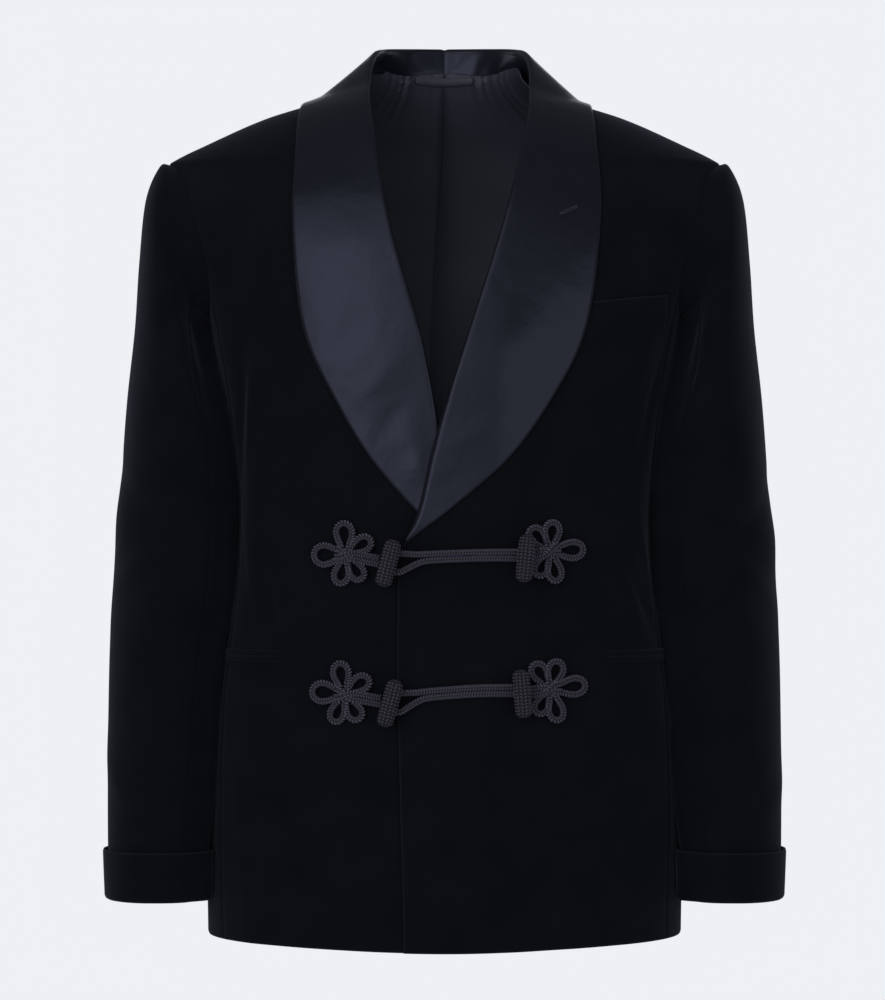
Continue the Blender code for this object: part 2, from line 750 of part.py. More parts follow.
def skin(mesh, rings):
    """Faces between rings of equal count, and over both ends."""
    for low, high in zip(rings, rings[1:]):
        for k in range(len(low)):
            after = (k + 1) % len(low)
            mesh.faces.new((low[k], low[after], high[after], high[k]))
    mesh.faces.new(rings[0])
    mesh.faces.new(rings[-1])
    bmesh.ops.recalc_face_normals(mesh, faces=mesh.faces)


def build_rosette(name, side, x, z, toggle_x, toggle_z, room, material):
    """Petals and shank of one cord, gathered into a hub in the middle."""
    out = room + CORD_RADIUS
    centre, toggle = Vector((x, z)), Vector((toggle_x, toggle_z))
    towards = (toggle - centre).normalized()
    outward = form_normal(side, front_angle(side * x, z), z)
    mesh = bmesh.new()
    for direction, length, half_width in PETALS[name]:
        heading = math.radians(direction)
        along = Vector((math.cos(heading), math.sin(heading)))
        across = Vector((-along.y, along.x))
        tip = length - CORD_RADIUS
        rise = [(PETAL_ROOT, PETAL_ROOT_SHARE * half_width)]
        rise += [(tip * a, half_width * b) for a, b in PETAL_SHAPE]
        flat = rise + [(tip, 0.0)] + [(a, -b) for a, b in reversed(rise)]
        places = [centre + along * a - across * b for a, b in flat]
        tube(mesh, [on_front(side, side * p.x, p.y, out) for p in places], PETAL_STEPS, outward)
    for sign in (1, -1):
        spread = Vector((-towards.y, towards.x)) * SHANK_SPREAD * sign
        ends = [centre + towards * PETAL_ROOT, toggle - towards * (SHANK_SHORT if side < 0 else LOOP_SHORT)]
        places = [on_front(side, side * (p + spread).x, (p + spread).y, out) for p in ends]
        tube(mesh, places, SHANK_STEPS, outward)
    petals = finish(name, mesh, material)
    hub = build_hub(f"{name}_hub", side, x, z, room, material)
    union = petals.modifiers.new("gathered", "BOOLEAN")
    union.operation = "UNION"
    union.solver = "EXACT"
    union.use_self = True
    union.object = hub


def build_hub(name, side, x, z, room, material):
    """Low dome in the middle of a rosette, which its boolean takes in."""
    base = on_front(side, side * x, z, room)
    outward = form_normal(side, front_angle(side * x, z), z)
    level = Vector((1, 0, 0))
    level = (level - outward * level.dot(outward)).normalized()
    across = outward.cross(level)
    mesh = bmesh.new()
    rings = []
    for tall, share in HUB_DOME:
        ring = []
        for k in range(HUB_SIDES):
            turn = 2 * math.pi * (k + 0.5) / HUB_SIDES
            reach = (level * math.cos(turn) + across * math.sin(turn)) * HUB_RADIUS * share
            ring.append(mesh.verts.new((base + outward * HUB_TALL * tall + reach) * MM))
        rings.append(ring)
    skin(mesh, rings)
    hub = finish(name, mesh, material)
    hub.hide_render = True
    hub.display_type = "WIRE"
    return hub


def build_loop(name, z_left, z_right, toggle_left_x, toggle_right_x, material):
    """Loop of a frog: two cords side by side, opening round the shank of the right toggle."""
    out = LOOP_ROOM[name] + CORD_RADIUS
    nose_x = toggle_right_x - LOOP_NOSE
    start = (toggle_left_x - LOOP_SHORT, CORD_RADIUS + SEAM, 0.0)
    rows = [start] + LOOP_ROUTE + [(nose_x + LOOP_NOSE_ROUND[0], LOOP_NOSE_ROUND[1], 1.0)]
    back = [(x, -spread, share) for x, spread, share in reversed(rows)]
    places = []
    for x, spread, share in rows + [(nose_x, 0.0, 1.0)] + back:
        z = mix(z_left, z_right, share) + spread
        over = on_front(1, x, z, out)
        under = on_front(-1, -x, z, out)
        places.append(over.lerp(under, ease((LOOP_DROP_X - x) / LOOP_DROP)))
    mesh = bmesh.new()
    tube(mesh, places, LOOP_STEPS, Vector((0, -1, 0)))
    finish(name, mesh, material)


def build_toggle(name, side, x, z, lean, out, material):
    """Barrel toggle, standing off its panel above the cords."""
    middle = on_front(side, side * x, z, out)
    outward = form_normal(side, front_angle(side * x, z), z)
    axis = Vector((math.sin(math.radians(lean)), 0, math.cos(math.radians(lean))))
    axis = (axis - outward * axis.dot(outward)).normalized()
    across = axis.cross(outward)
    mesh = bmesh.new()
    rings = []
    for place, share in BARREL:
        ring = []
        for k in range(TOGGLE_SIDES):
            turn = 2 * math.pi * k / TOGGLE_SIDES
            reach = (outward * math.cos(turn) + across * math.sin(turn)) * TOGGLE_RADIUS * share
            ring.append(mesh.verts.new((middle + axis * place * TOGGLE_HALF + reach) * MM))
        rings.append(ring)
    skin(mesh, rings)
    finish(name, mesh, material)


def build_frogs(braid):
    for name, side, x, z, toggle_x, toggle_z, lean, room, toggle_out in FROGS:
        build_rosette(name, side, x, z, toggle_x, toggle_z, room, braid)
        build_toggle(f"{name}_toggle", side, toggle_x, toggle_z, lean, toggle_out, braid)
    for right, left in zip(FROGS[0::2], FROGS[1::2]):
        name = right[0].replace("_right", "_loop")
        build_loop(name, left[5] + LOOP_RAISE, right[5] + LOOP_RAISE, left[4], right[4], braid)


def build_hanger(lining):
    """Hanger loop across the nape, bowed in from the lining."""
    inside = -(VELVET + LINING + 2 * LAYER)
    points, normals = [], []
    for z in (HANGER_Z, HANGER_Z + HANGER_TALL):
        row, row_normals = [], []
        for i in range(HANGER_COLUMNS + 1):
            share = 2 * i / HANGER_COLUMNS - 1
            angle = 180 - HANGER_HALF_TURN * share
            row.append(moved_out(1, angle, z, inside - HANGER_BOW * (1 - share * share)))
            row_normals.append(form_normal(1, angle, z))
        points.append(row)
        normals.append(row_normals)
    wall("hanger_loop", points, normals, HANGER_WALL, lining)


def main():
    for thing in list(bpy.data.objects):
        bpy.data.objects.remove(thing)
    velvet, satin, lining, braid = (surface(name, *look) for name, look in CLOTHS.items())
    for side in (1, -1):
        name = side_name(side)
        build_front(side, velvet)
        build_panel(f"side_{name}", side, side_places(), velvet)
        build_panel(f"back_{name}", side, back_places(), velvet)
        inner_places = back_places()[LINING_FROM_ROW:]
        build_panel(f"lining_{name}", side, inner_places, lining, -(VELVET + LAYER), LINING, LINING_IN)
        build_sleeve(f"sleeve_top_{name}", side, SLEEVE_BACK_SEAM - 360, SLEEVE_FRONT_SEAM, velvet)
        build_sleeve(f"sleeve_under_{name}", side, SLEEVE_FRONT_SEAM, SLEEVE_BACK_SEAM, velvet)
        build_cuff(side, velvet)
        build_collar(side, satin)
        build_stand(side, satin)
        build_pocket(side, velvet)
    build_welt(velvet)
    build_frogs(braid)
    build_hanger(lining)


main()
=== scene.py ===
"""Looks of a velvet evening jacket: nap, satin, twill lining and braided frogs on the jacket's own form.

Every piece of cloth is a fine sheet on the same body form as the solids, in millimetres and degrees: +X is the
wearer's left, the front faces -Y, +Z is up, and the origin is the middle of the neck's base.
"""

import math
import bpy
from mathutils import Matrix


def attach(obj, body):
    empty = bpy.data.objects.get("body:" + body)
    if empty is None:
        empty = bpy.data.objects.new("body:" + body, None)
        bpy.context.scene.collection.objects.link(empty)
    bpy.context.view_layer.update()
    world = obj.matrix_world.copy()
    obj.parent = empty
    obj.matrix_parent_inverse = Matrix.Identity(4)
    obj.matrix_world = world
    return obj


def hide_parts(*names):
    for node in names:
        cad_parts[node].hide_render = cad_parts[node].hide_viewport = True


bl_info = {
    "name": "Velvet evening jacket",
    "version": (1, 0, 0),
    "blender": (4, 5, 0),
    "location": "3D View > Sidebar > Jacket",
    "description": "Dresses the jacket's solids in velvet, satin, lining and braided cord",
    "category": "Object",
}

import bpy
import numpy as np
from mathutils import Vector

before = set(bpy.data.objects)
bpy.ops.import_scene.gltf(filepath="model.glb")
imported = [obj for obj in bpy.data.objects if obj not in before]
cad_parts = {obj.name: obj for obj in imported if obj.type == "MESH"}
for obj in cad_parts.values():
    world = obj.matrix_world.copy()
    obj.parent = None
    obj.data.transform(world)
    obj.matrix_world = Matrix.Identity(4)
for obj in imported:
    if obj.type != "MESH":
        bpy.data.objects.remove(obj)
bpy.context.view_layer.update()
MM = 0.001


def linear(hex_colour):
    """Linear red, green and blue of an sRGB hex value."""
    shares = [int(hex_colour[i:i + 2], 16) / 255 for i in (1, 3, 5)]
    return tuple(s / 12.92 if s <= 0.04045 else ((s + 0.055) / 1.055) ** 2.4 for s in shares)


# Walls and the room between layers, as in the solids
VELVET, SATIN, LINING = 2.0, 1.6, 1.0
LAYER, COLLAR_LAYER = 0.9, 1.6

# Levels
HEM_Z, HEM_RISE = -700.5, 6.0
SHOULDER_TIP_Z, ARMPIT_Z = -52.0, -195.0
NECK_POINT_Z, NAPE_Z, NECK_FREE = 14.0, 30.0, 14.0

# Steps in degrees and mm over which the form's slope is taken, and rounds in which points are pushed off it
NORMAL_TURN, NORMAL_RISE, SEAT_ROUNDS = 2, 3, 4

# Armhole
ARMHOLE_FRONT, ARMHOLE_BACK, ARMHOLE_SKEW = 15.5, 14.0, 0.2
UNDERARM_TURN = 120.0

# The left front laps over the right one
LAP_LIFT, LAP_LOW_LIFT = 6.4, 3.4
LAP_LOW_FROM_Z, LAP_LOW_TO_Z = -345.0, -378.0
LAP_FULL_X, LAP_NONE_X = 42.0, 95.0
LAP_TOP_Z, LAP_DEEP_Z = -150.0, -230.0

# Sleeve and turned-back cuff
SLEEVE_FREE_Z, SLEEVE_HELD_Z = -200.0, -250.0
SLEEVE_INNER_SQUARE = 3.0
# Room between sleeve and body, more room at the hip jets and half the height of that; how close a sleeve has to hang
# to lie against the body, and where on its inner side and how far from the armpit that starts
SLEEVE_TOUCH, SLEEVE_JET_ROOM, SLEEVE_JET_TALL = 0.8, 2.6, 14.0
SLEEVE_HUG, HUG_REACH, HUG_SIDE, HUG_DROP, HUG_BLEND = 8.0, 2.4, 4, 22, 14
SLEEVE_FRONT_SEAM, SLEEVE_BACK_SEAM = 120.0, 255.0
CUFF_BLEND, CUFF_TOP_Z, CUFF_BOTTOM_Z, CUFF_WALL, CUFF_FLARE = 40.0, -623.0, -664.5, 2.4, 1.0

# Pockets
JET_TALL, JET_Z, JET_FROM, JET_TO = 5.0, -461.0, 53.5, 95.0
WELT_WALL, WELT_LOW, WELT_TALL, WELT_TOP_Z, WELT_DROP = 1.8, 0.5, 27.0, -164.5, 7.5
WELT_OUTER_X, WELT_INNER_X = 182.0, 120.5
WELT_STEEP_UP, WELT_STEEP_OUT = 1.6, 4

# Body form: height, half width, depth to the front, depth to the back, squareness of the section
BODY_SECTIONS = [
    (-700, 198, 122, 122, 2.5),
    (-627, 199, 122, 122, 2.5),
    (-569, 198, 122, 121, 2.5),
    (-501, 194, 120, 117, 2.5),
    (-451, 187, 117, 112, 2.5),
    (-400, 180, 114, 107, 2.5),
    (-347, 177, 113, 104, 2.5),
    (-273, 183, 116, 106, 2.5),
    (-195, 196, 120, 112, 2.45),
    (-160, 206, 119, 113, 2.4),
    (-137, 213, 117, 113, 2.35),
    (-97, 226, 110, 109, 2.2),
    (-52, 231, 93, 98, 1.8),
    (-49.5, 227.5, 91.8, 97.1, 1.8),
    (-30, 188, 82, 90, 1.8),
    (-13, 148.5, 70, 81, 1.8),
    (0, 108, 60, 74, 1.8),
    (14, 75, 48, 66, 1.9),
    (26, 66, 42, 61, 2.0),
]

# Largest folds of the body, as in the solids: side, angle, height, half width round the body, half length, rise
BODY_FOLDS = [
    (-1, 50, -418, 5.0, 48, 3.4),
    (-1, 62, -440, 4.0, 40, -2.6),
    (-1, 66, -330, 5.0, 70, 2.6),
    (1, 64, -405, 4.5, 46, 3.4),
    (1, 55, -420, 5.0, 40, -2.4),
    (1, 68, -320, 5.0, 70, 2.4),
    (-1, 132, -340, 7.0, 60, 3.0),
    (1, 138, -350, 7.0, 55, 3.0),
    (-1, 120, -230, 5.0, 70, 2.8),
    (1, 121, -225, 5.0, 65, 2.8),
]

# Finer creases of the body: side, angle, height, lean from upright in degrees, half width and half length in mm, rise
BODY_CREASES = [
    (-1, 57, -402, 24, 4.5, 34, 1.7),
    (-1, 61, -415, 30, 4.0, 30, -1.5),
    (-1, 66, -398, 16, 5.0, 40, 1.5),
    (-1, 46, -436, 38, 5.0, 28, -1.3),
    (-1, 69, -262, -10, 6.0, 52, -1.9),
    (-1, 63, -240, -16, 6.5, 46, 1.6),
    (-1, 57, -225, -22, 7.0, 40, -1.1),
    (-1, 30, -560, 4, 16.0, 110, 1.6),
    (-1, 52, -590, -3, 14.0, 90, -1.5),
    (-1, 63, -610, 3, 10.0, 80, 1.6),
    (1, 60, -392, -20, 4.5, 36, 1.6),
    (1, 66, -410, -26, 4.0, 30, -1.6),
    (1, 70, -380, -12, 5.0, 44, 1.5),
    (1, 50, -432, -34, 5.0, 26, -1.2),
    (1, 70, -258, 12, 6.0, 54, -1.8),
    (1, 64, -236, 18, 6.5, 44, 1.6),
    (1, 40, -575, -4, 16.0, 100, 1.5),
    (1, 56, -600, 3, 12.0, 84, -1.6),
    (1, 22, -600, 5, 18.0, 90, -1.2),
    (-1, 112, -395, -14, 6.0, 44, 1.8),
    (-1, 118, -425, -24, 5.0, 36, -1.7),
    (-1, 126, -400, -30, 5.5, 40, 1.5),
    (-1, 146, -372, -52, 5.0, 34, 1.2),
    (-1, 150, -340, -60, 5.5, 38, -1.3),
    (-1, 128, -170, 14, 8.0, 60, 1.7),
    (-1, 136, -560, 2, 18.0, 110, 1.9),
    (-1, 158, -610, -3, 18.0, 90, -1.8),
    (1, 113, -400, 16, 6.0, 42, 1.8),
    (1, 120, -420, 26, 5.0, 38, -1.6),
    (1, 129, -395, 34, 5.5, 36, 1.4),
    (1, 149, -362, 56, 5.0, 36, -1.3),
    (1, 143, -392, 48, 5.0, 30, 1.2),
    (1, 127, -176, -16, 8.0, 58, 1.6),
    (1, 140, -575, -3, 18.0, 100, 1.9),
    (1, 160, -590, 4, 18.0, 94, -1.7),
]
CREASE_MM_A_DEGREE = 3.0

# Front edge and roll line of either front: height, distance past the centre on its own side
FRONT_EDGE = [
    (-700, -33.0),
    (-568, -36.0),
    (-465, -38.0),
    (-382, -37.5),
    (-362, -29.0),
    (-293, -12.0),
    (-249, 0.4),
    (-194, 20.6),
    (-120, 44.0),
    (-63, 59.0),
    (-13, 69.0),
    (14, 75.0),
]

# Seams of the underarm panel: height, angle of the front seam, angle of the back seam
SIDE_SEAMS = [
    (-700, 71.0, 109.0),
    (-500, 72.5, 107.5),
    (-347, 74.0, 106.0),
]

# Sleeve rings: outer edge x, z; inner edge x, z; middle y; depth to the front, to the back
SLEEVE_RINGS = [
    (239, -54.0, 200, -193, 0, 54, 53),
    (250.5, -82, 203, -203, 0, 63, 61),
    (256, -135, 198, -226, 0, 70, 68),
    (259.5, -190, 189, -254, -2, 72, 71),
    (266, -250, 180, -292, -3, 70, 70),
    (271, -317, 175, -340, -4, 66, 68),
    (276, -384, 177, -395, -8, 62, 66),
    (279.5, -451, 185, -456, -14, 58, 62),
    (280.5, -518, 192, -520, -20, 55, 57),
    (280.5, -585, 197, -586, -25, 52, 53),
    (280, -630, 202, -630, -28, 49, 50),
    (279.5, -663, 203, -663, -29, 48, 49),
]

# Folds of the sleeves: side, turn round the arm, place along it, half width round, half length along, slant, rise
SLEEVE_FOLDS = [
    (1, 60, 0.47, 26, 0.035, 0.0, 3.0),
    (1, 30, 0.56, 30, 0.030, 0.0, 2.4),
    (1, 80, 0.63, 28, 0.035, 0.0, 2.8),
    (-1, 64, 0.45, 26, 0.035, 0.0, 3.0),
    (-1, 36, 0.54, 30, 0.030, 0.0, 2.4),
    (-1, 84, 0.62, 28, 0.035, 0.0, 2.8),
    (1, 96, 0.42, 30, 0.014, 0.0007, 1.7),
    (1, 88, 0.50, 34, 0.013, -0.0006, -1.8),
    (1, 50, 0.535, 40, 0.014, 0.0008, -1.5),
    (1, 70, 0.585, 36, 0.015, -0.0009, 1.6),
    (1, 118, 0.30, 22, 0.050, 0.0016, -2.2),
    (1, 104, 0.26, 16, 0.060, 0.0020, 2.0),
    (1, 300, 0.50, 40, 0.016, 0.0008, 1.8),
    (1, 285, 0.56, 34, 0.015, -0.0007, -1.8),
    (1, 315, 0.60, 36, 0.016, 0.0006, 1.6),
    (1, 260, 0.30, 24, 0.050, -0.0016, 2.0),
    (1, 40, 0.83, 34, 0.020, 0.0007, 1.4),
    (1, 90, 0.86, 30, 0.018, -0.0006, -1.4),
    (-1, 92, 0.40, 30, 0.014, 0.0008, 1.7),
    (-1, 86, 0.485, 34, 0.013, -0.0007, -1.8),
    (-1, 54, 0.52, 40, 0.014, 0.0007, -1.5),
    (-1, 66, 0.575, 36, 0.015, -0.0008, 1.7),
    (-1, 116, 0.31, 22, 0.050, 0.0016, -2.2),
    (-1, 102, 0.27, 16, 0.060, 0.0020, 2.0),
    (-1, 302, 0.48, 40, 0.016, 0.0007, 1.8),
    (-1, 288, 0.55, 34, 0.015, -0.0008, -1.8),
    (-1, 312, 0.61, 36, 0.016, 0.0006, 1.6),
    (-1, 262, 0.31, 24, 0.050, -0.0016, 2.0),
    (-1, 44, 0.81, 34, 0.020, 0.0008, 1.4),
    (-1, 86, 0.85, 30, 0.018, -0.0007, -1.4),
]

# Shawl collar from centre back to the break: roll x, y, z; edge x, y, z; roll x and edge x of the right half
COLLAR_STATIONS = [
    (0, 66, 53, 0, 78, -6, 0, 0),
    (35, 58, 52.5, 43, 72, -6, 32.5, 42),
    (59, 33, 50, 89, 51, -7, 51.5, 86),
    (68.5, 4, 44, 119, 8, -5, 58.5, 115),
    (72, -22, 27, 121, -18, -9, 62, 117.5),
    (70, -48, 0, 121.5, -36, -17, 61.5, 119),
    (66, -75, -32, 124, -66, -42, 57, 121),
    (59, -93, -63, 126, -79, -66, 52.5, 122),
    (44, -112.5, -119, 126, -98, -112, 41.5, 123),
    (20, -120, -194, 114.7, -106, -194, 20, 114.7),
    (2.5, -117, -249, 88, -110, -249, 8.5, 90),
    (-10.5, -115, -293, 53.5, -113, -297, -0.5, 62),
    (-20.5, -113, -338, 8, -113.5, -338, -10, 27),
    (-31, -113, -365.5, -30, -113, -367.5, -18, -4),
]

# Stand: stations of the collar that it reaches, how far its bottom sinks into the back's top edge, length, height and
# angle of its end
STAND_STATIONS, STAND_LAP, STAND_LONG, STAND_TALL, STAND_END = 5, 0.5, 125, 24, 91.0

# Crumples of the stand's satin: side, place along it, height on it, half width, lean, rise in mm; and half their height
STAND_CRUMPLES = [
    (1, 0.06, 0.5, 0.05, 0.03, -0.5), (1, 0.15, 0.6, 0.05, 0.05, 0.6), (1, 0.24, 0.45, 0.035, -0.06, -0.5),
    (1, 0.33, 0.6, 0.04, 0.05, 0.6), (1, 0.43, 0.5, 0.04, 0.08, -0.5), (1, 0.53, 0.55, 0.05, -0.05, 0.6),
    (1, 0.64, 0.4, 0.04, 0.08, -0.5),
    (-1, 0.12, 0.5, 0.05, -0.05, 0.5), (-1, 0.25, 0.6, 0.05, 0.05, -0.5), (-1, 0.37, 0.5, 0.05, -0.06, 0.6),
    (-1, 0.5, 0.55, 0.05, 0.05, -0.6), (-1, 0.62, 0.5, 0.05, 0.05, 0.6),
]
CRUMPLE_TALL = 0.45

# Edges of cloth: places of the points beside an edge, how deep and wide a seam or a free edge turns down, rounding of
# the rim and width of the painted highlight along a free fold, in mm; steps and least angle of the rounding, angle up
# to which faces are smooth, and distance at which a closed ring's ends are joined
EDGE_STOPS = (0.0, 0.9, 2.0, 3.4)
EDGE_DROPS = {"s": (0.8, 2.0), "u": (0.8, 2.0), "a": (0.25, 1.6), "f": (0.7, 1.1)}
RIM_ROUND, FOLD_HIGHLIGHT_WIDTH = 0.45, 0.9
RIM_SEGMENTS, RIM_ANGLE, SMOOTH_ANGLE, WELD = 2, 55, 60, 0.01

# Seam allowance under the neighbouring panel: room under its wall and reach, in mm, and its share of the armhole
UNDERLAP_ROOM, UNDERLAP = 0.5, 4.0
ARMHOLE_UNDERLAP = 1.05

# Collar's roll: radius at the neck, over the chest and near the break, its most as a share of the collar's width, its
# rise above the shoulders and how fast that fades, and its turn at the break in half turns
NECK_ROLL, LAPEL_ROLL, BREAK_ROLL, ROLL_MOST = 3.0, 2.5, 5.0, 0.4
ROLL_PUFF, PUFF_FADE, BREAK_CURL = 3.0, 2.6, 0.6
CURL_SHARES = (1.0, 0.86, 0.72, 0.58, 0.44, 0.3, 0.15)

# Where the collar passes the shoulders, becomes a lapel and nears the break: start and length as shares of the collar
SHOULDER_FROM, SHOULDER_BLEND = 0.14, 0.14
LAPEL_FROM, LAPEL_BLEND = 0.26, 0.12
BREAK_FROM, BREAK_BLEND = 0.72, 0.14

# Facing under the roll: reach in mm and share of its depth for each row, its gap to the roll, and the share of the
# reach at the neck, past the shoulders and at the break
FACING_ROWS, FACING_GAP = ((12.0, 1.0), (7.5, 1.0), (4.0, 0.9)), 0.4
NECK_REACH, SHOULDER_REACH, BREAK_REACH = 0.04, 0.6, 0.2

# Hold-back of the fronts' inner edges under the roll, and of the right one where it goes under the left
FRONT_UNDER_ROLL, UNDER_ROLL_Z, UNDER_ROLL_BLEND = 7.0, -366.0, 26.0
RIGHT_ROLL_BACK = 10.5
RIGHT_BACK_TOP_Z, RIGHT_BACK_TOP_BLEND = -205.0, 85.0
RIGHT_BACK_LOW_Z, RIGHT_BACK_LOW_BLEND = -385.0, 40.0

# Soft creases of the collar's satin: side, place along the collar, place across it, lean in degrees, half width and
# half length in mm, rise; and how fast they fade towards the collar's edge
COLLAR_CREASES = [
    (-1, 0.70, 0.62, 62, 8.0, 26, -0.8), (-1, 0.745, 0.45, 55, 7.0, 30, 0.8), (-1, 0.80, 0.5, 48, 7.0, 26, -0.8),
    (-1, 0.62, 0.35, 74, 10.0, 24, 0.6), (-1, 0.86, 0.4, 50, 6.0, 18, 0.6), (-1, 0.55, 0.52, 90, 15.0, 20, 0.5),
    (-1, 0.875, 0.42, 12, 10.0, 32, 1.4),
    (1, 0.64, 0.55, -70, 12.0, 28, -0.4), (1, 0.70, 0.4, -60, 11.0, 28, 0.35), (1, 0.765, 0.55, -55, 11.0, 26, -0.35),
    (1, 0.82, 0.4, -50, 9.0, 22, 0.35), (1, 0.56, 0.4, -84, 13.0, 26, 0.4), (1, 0.88, 0.5, -45, 7.0, 18, -0.25),
]
CREASE_FADE = 5

# Length of a collar half, width of its fall, and rounds of easing with the stretch of the collar that is eased
COLLAR_LONG, COLLAR_WIDE = 590.0, 100
COLLAR_EASE, EASE_FROM, EASE_TO, EASE_BLEND = 14, 0.02, 0.96, 0.06

# Lengths that the points of the other pieces are spread over: up to the armpit, above it, and round the body or arm
BODY_LOW, FRONT_HIGH, BACK_HIGH, LINING_LOW = 541, 196, 230, 350
FRONT_WIDE, BACK_WIDE, SIDE_WIDE, SIDE_TALL = 270, 200, 130, 510
SLEEVE_LONG, SLEEVE_MM_A_DEGREE = 625, 1.15
JET_LONG, WELT_LONG = 130, 70

# Back: the row where the centre seam reaches the nape, as a share of the rows beside the armhole
NAPE_ROW = 0.375

# Lining: lowest row, edge held inside the back's, rise over the neck seam at the nape and beside it, angle, half turn
# and reach down of that rise, and how far it hangs off the back from how far below the seam
LINING_ROW, LINING_EDGE, LINING_RISE, LINING_SIDE_RISE = 0.357, 0.002, 1.0, 15.0
SIDE_RISE_ANGLE, SIDE_RISE_TURN, SIDE_RISE_REACH = 106, 29, 18
LINING_LOFT, LOFT_REACH = 2.4, 40

# Pleat where the left half laps over the right one: lift, turn and length, how narrow its fold and its edge are,
# reach of the edge's lift and width of the hollow beside it
PLEAT_LIFT, PLEAT_TURN, PLEAT_LONG = 3.0, 6.5, 250.0
PLEAT_FOLD_POWER, PLEAT_EDGE_POWER, PLEAT_EDGE_REACH, PLEAT_HOLLOW = 10, 24, 12, 0.035

# Small tucks of the lining below the neck seam: side, angle, half width in degrees, reach down in mm, rise
LINING_TUCKS = [
    (1, 172, 2.0, 16, 0.9), (1, 164, 1.6, 22, 1.0), (1, 158, 1.4, 18, -0.7), (1, 153, 1.3, 24, 2.0),
    (1, 148.5, 1.2, 20, -1.2), (1, 145, 1.3, 26, 1.8), (1, 136, 2.4, 30, 1.4), (1, 127, 2.0, 34, 2.2),
    (1, 121, 2.0, 40, 2.0),
    (-1, 175, 1.8, 18, 0.8), (-1, 167, 1.6, 22, 1.0), (-1, 157, 1.5, 18, -0.8), (-1, 149, 1.2, 26, 2.0),
    (-1, 145.5, 1.2, 22, -1.2), (-1, 142, 1.3, 28, 2.0), (-1, 136, 2.0, 28, 1.2), (-1, 127, 2.4, 24, 1.0),
]

# Sleeve's end inside the cuff, thickness of the cuff's cloth and points round it
SLEEVE_END, CUFF_CLOTH, CUFF_COLUMNS = 0.986, 1.4, 100

# Cuff: turns of the rows round its fold, rise of the rows inside the sleeve, the stretch of sleeve that it is on, and
# rounds and step in degrees by which its place and facing are found there
CUFF_FOLD_TURNS = (20, 45, 70, 90, 110, 135, 160, 180)
CUFF_INSIDE_RISES, CUFF_SEARCH, SEARCH_ROUNDS, SLEEVE_TURN_STEP = (4.0, 9.0, 15.0), (0.6, 1.0), 24, 3

# Hanger loop: turn either way, height, width, wall, how far it bows off the lining and sags; points along and across
HANGER_HALF_TURN, HANGER_Z, HANGER_TALL, HANGER_WALL, HANGER_BOW, HANGER_SAG = 26.0, 22.5, 5.2, 1.0, 2.6, 0.7
HANGER_COLUMNS, HANGER_ROWS = 49, 7

# Cord of the frogs: radius, points round it, spacing of its rings, points that its route is smoothed by; columns of
# stitches round it, their pitch, slant as a share of the pitch, relief and the height that stays at the radius
CORD_RADIUS, CORD_SIDES, CORD_STEP, CORD_SAMPLES = 2.7, 24, 0.45, 400
BRAID_COLUMNS, BRAID_PITCH, BRAID_SLANT, BRAID_RELIEF, BRAID_LEVEL = 4, 2.2, 0.42, 0.85, 0.65
STITCH_ROUND = 0.8

# Shank of a rosette: half the distance of its two cords, how far a right one ends before its toggle, room kept free
# before that end and lift halfway there; the cords' way over the rosette's middle: place along the shank, distance
# from its middle line, lift, and lift that one cord gains and the other loses
SHANK_SPREAD, SHANK_SHORT, SHANK_ROOM, SHANK_LIFT = 2.6, 8.7, 2, 0.2
SHANK_ROUTE = [
    (-7.5, -3.4, 1.0, 0.0), (-3.0, -2.2, 3.2, 0.0), (1.5, 0.4, 4.4, 0.9), (6.5, 2.4, 3.4, 0.0), (11.0, 2.6, 1.4, 0.0),
]

# Root of a petal: its first point, place and share of the half width of its second one; lift of every other petal's
# cord within a distance from the middle
PETAL_START, PETAL_ROOT, PETAL_ROOT_SHARE = (1.5, -0.3), 4.5, 0.45
PETAL_LIFT, PETAL_LIFT_REACH = 1.1, 9

# Cuts: width and length of the cloth each piece is cut from, and the piece's own flat area, in metres
CUTS = {
    "front": (0.32, 0.76, 0.152),
    "side": (0.14, 0.53, 0.065),
    "back": (0.22, 0.78, 0.153),
    "lining": (0.22, 0.60, 0.112),
    "sleeve_top": (0.28, 0.64, 0.127),
    "sleeve_under": (0.19, 0.52, 0.078),
    "cuff": (0.27, 0.075, 0.019),
    "collar": (0.16, 0.62, 0.048),
    "stand": (0.03, 0.13, 0.0027),
    "jet": (0.012, 0.135, 0.0009),
    "welt": (0.03, 0.066, 0.0019),
    "hanger": (0.01, 0.06, 0.00032),
}

# Knit of the toggles: columns of stitches round the barrel, their pitch, slant, relief and share of the cord's
# painted highlight; depth of the gaps between stitches, roundness of the ribs, height that stays at the barrel's
# radius,
# points round a column, and how the relief fades with the barrel's radius
KNIT_COLUMNS, KNIT_PITCH, KNIT_SLANT, KNIT_RELIEF, KNIT_SHADE = 12, 2.7, 0.4, 1.5, 0.85
KNIT_GAP, KNIT_RIB, KNIT_LEVEL, KNIT_COLUMN_SIDES = 0.24, 1.8, 0.7, 8
KNIT_FADE, KNIT_FADE_FROM = 1.3, 0.2

# Frogs: name, side it lies on, rosette x, z, toggle x, z, lean of the toggle, room under the rosette and
# height of the toggle's axis over the front
FROGS = [
    ("frog_upper_right", -1, -79.0, -378.0, -44.2, -385.0, 14.5, 0.9, 16.0),
    ("frog_upper_left", 1, 84.0, -375.0, 63.3, -381.0, 6.0, 0.9, 14.3),
    ("frog_lower_right", -1, -79.0, -491.5, -43.0, -498.0, 15.0, 0.6, 15.7),
    ("frog_lower_left", 1, 84.0, -487.0, 61.3, -490.5, -4.5, 0.8, 13.9),
]
LOOP_ROOM = {"frog_upper_loop": 1.8, "frog_lower_loop": 1.1}

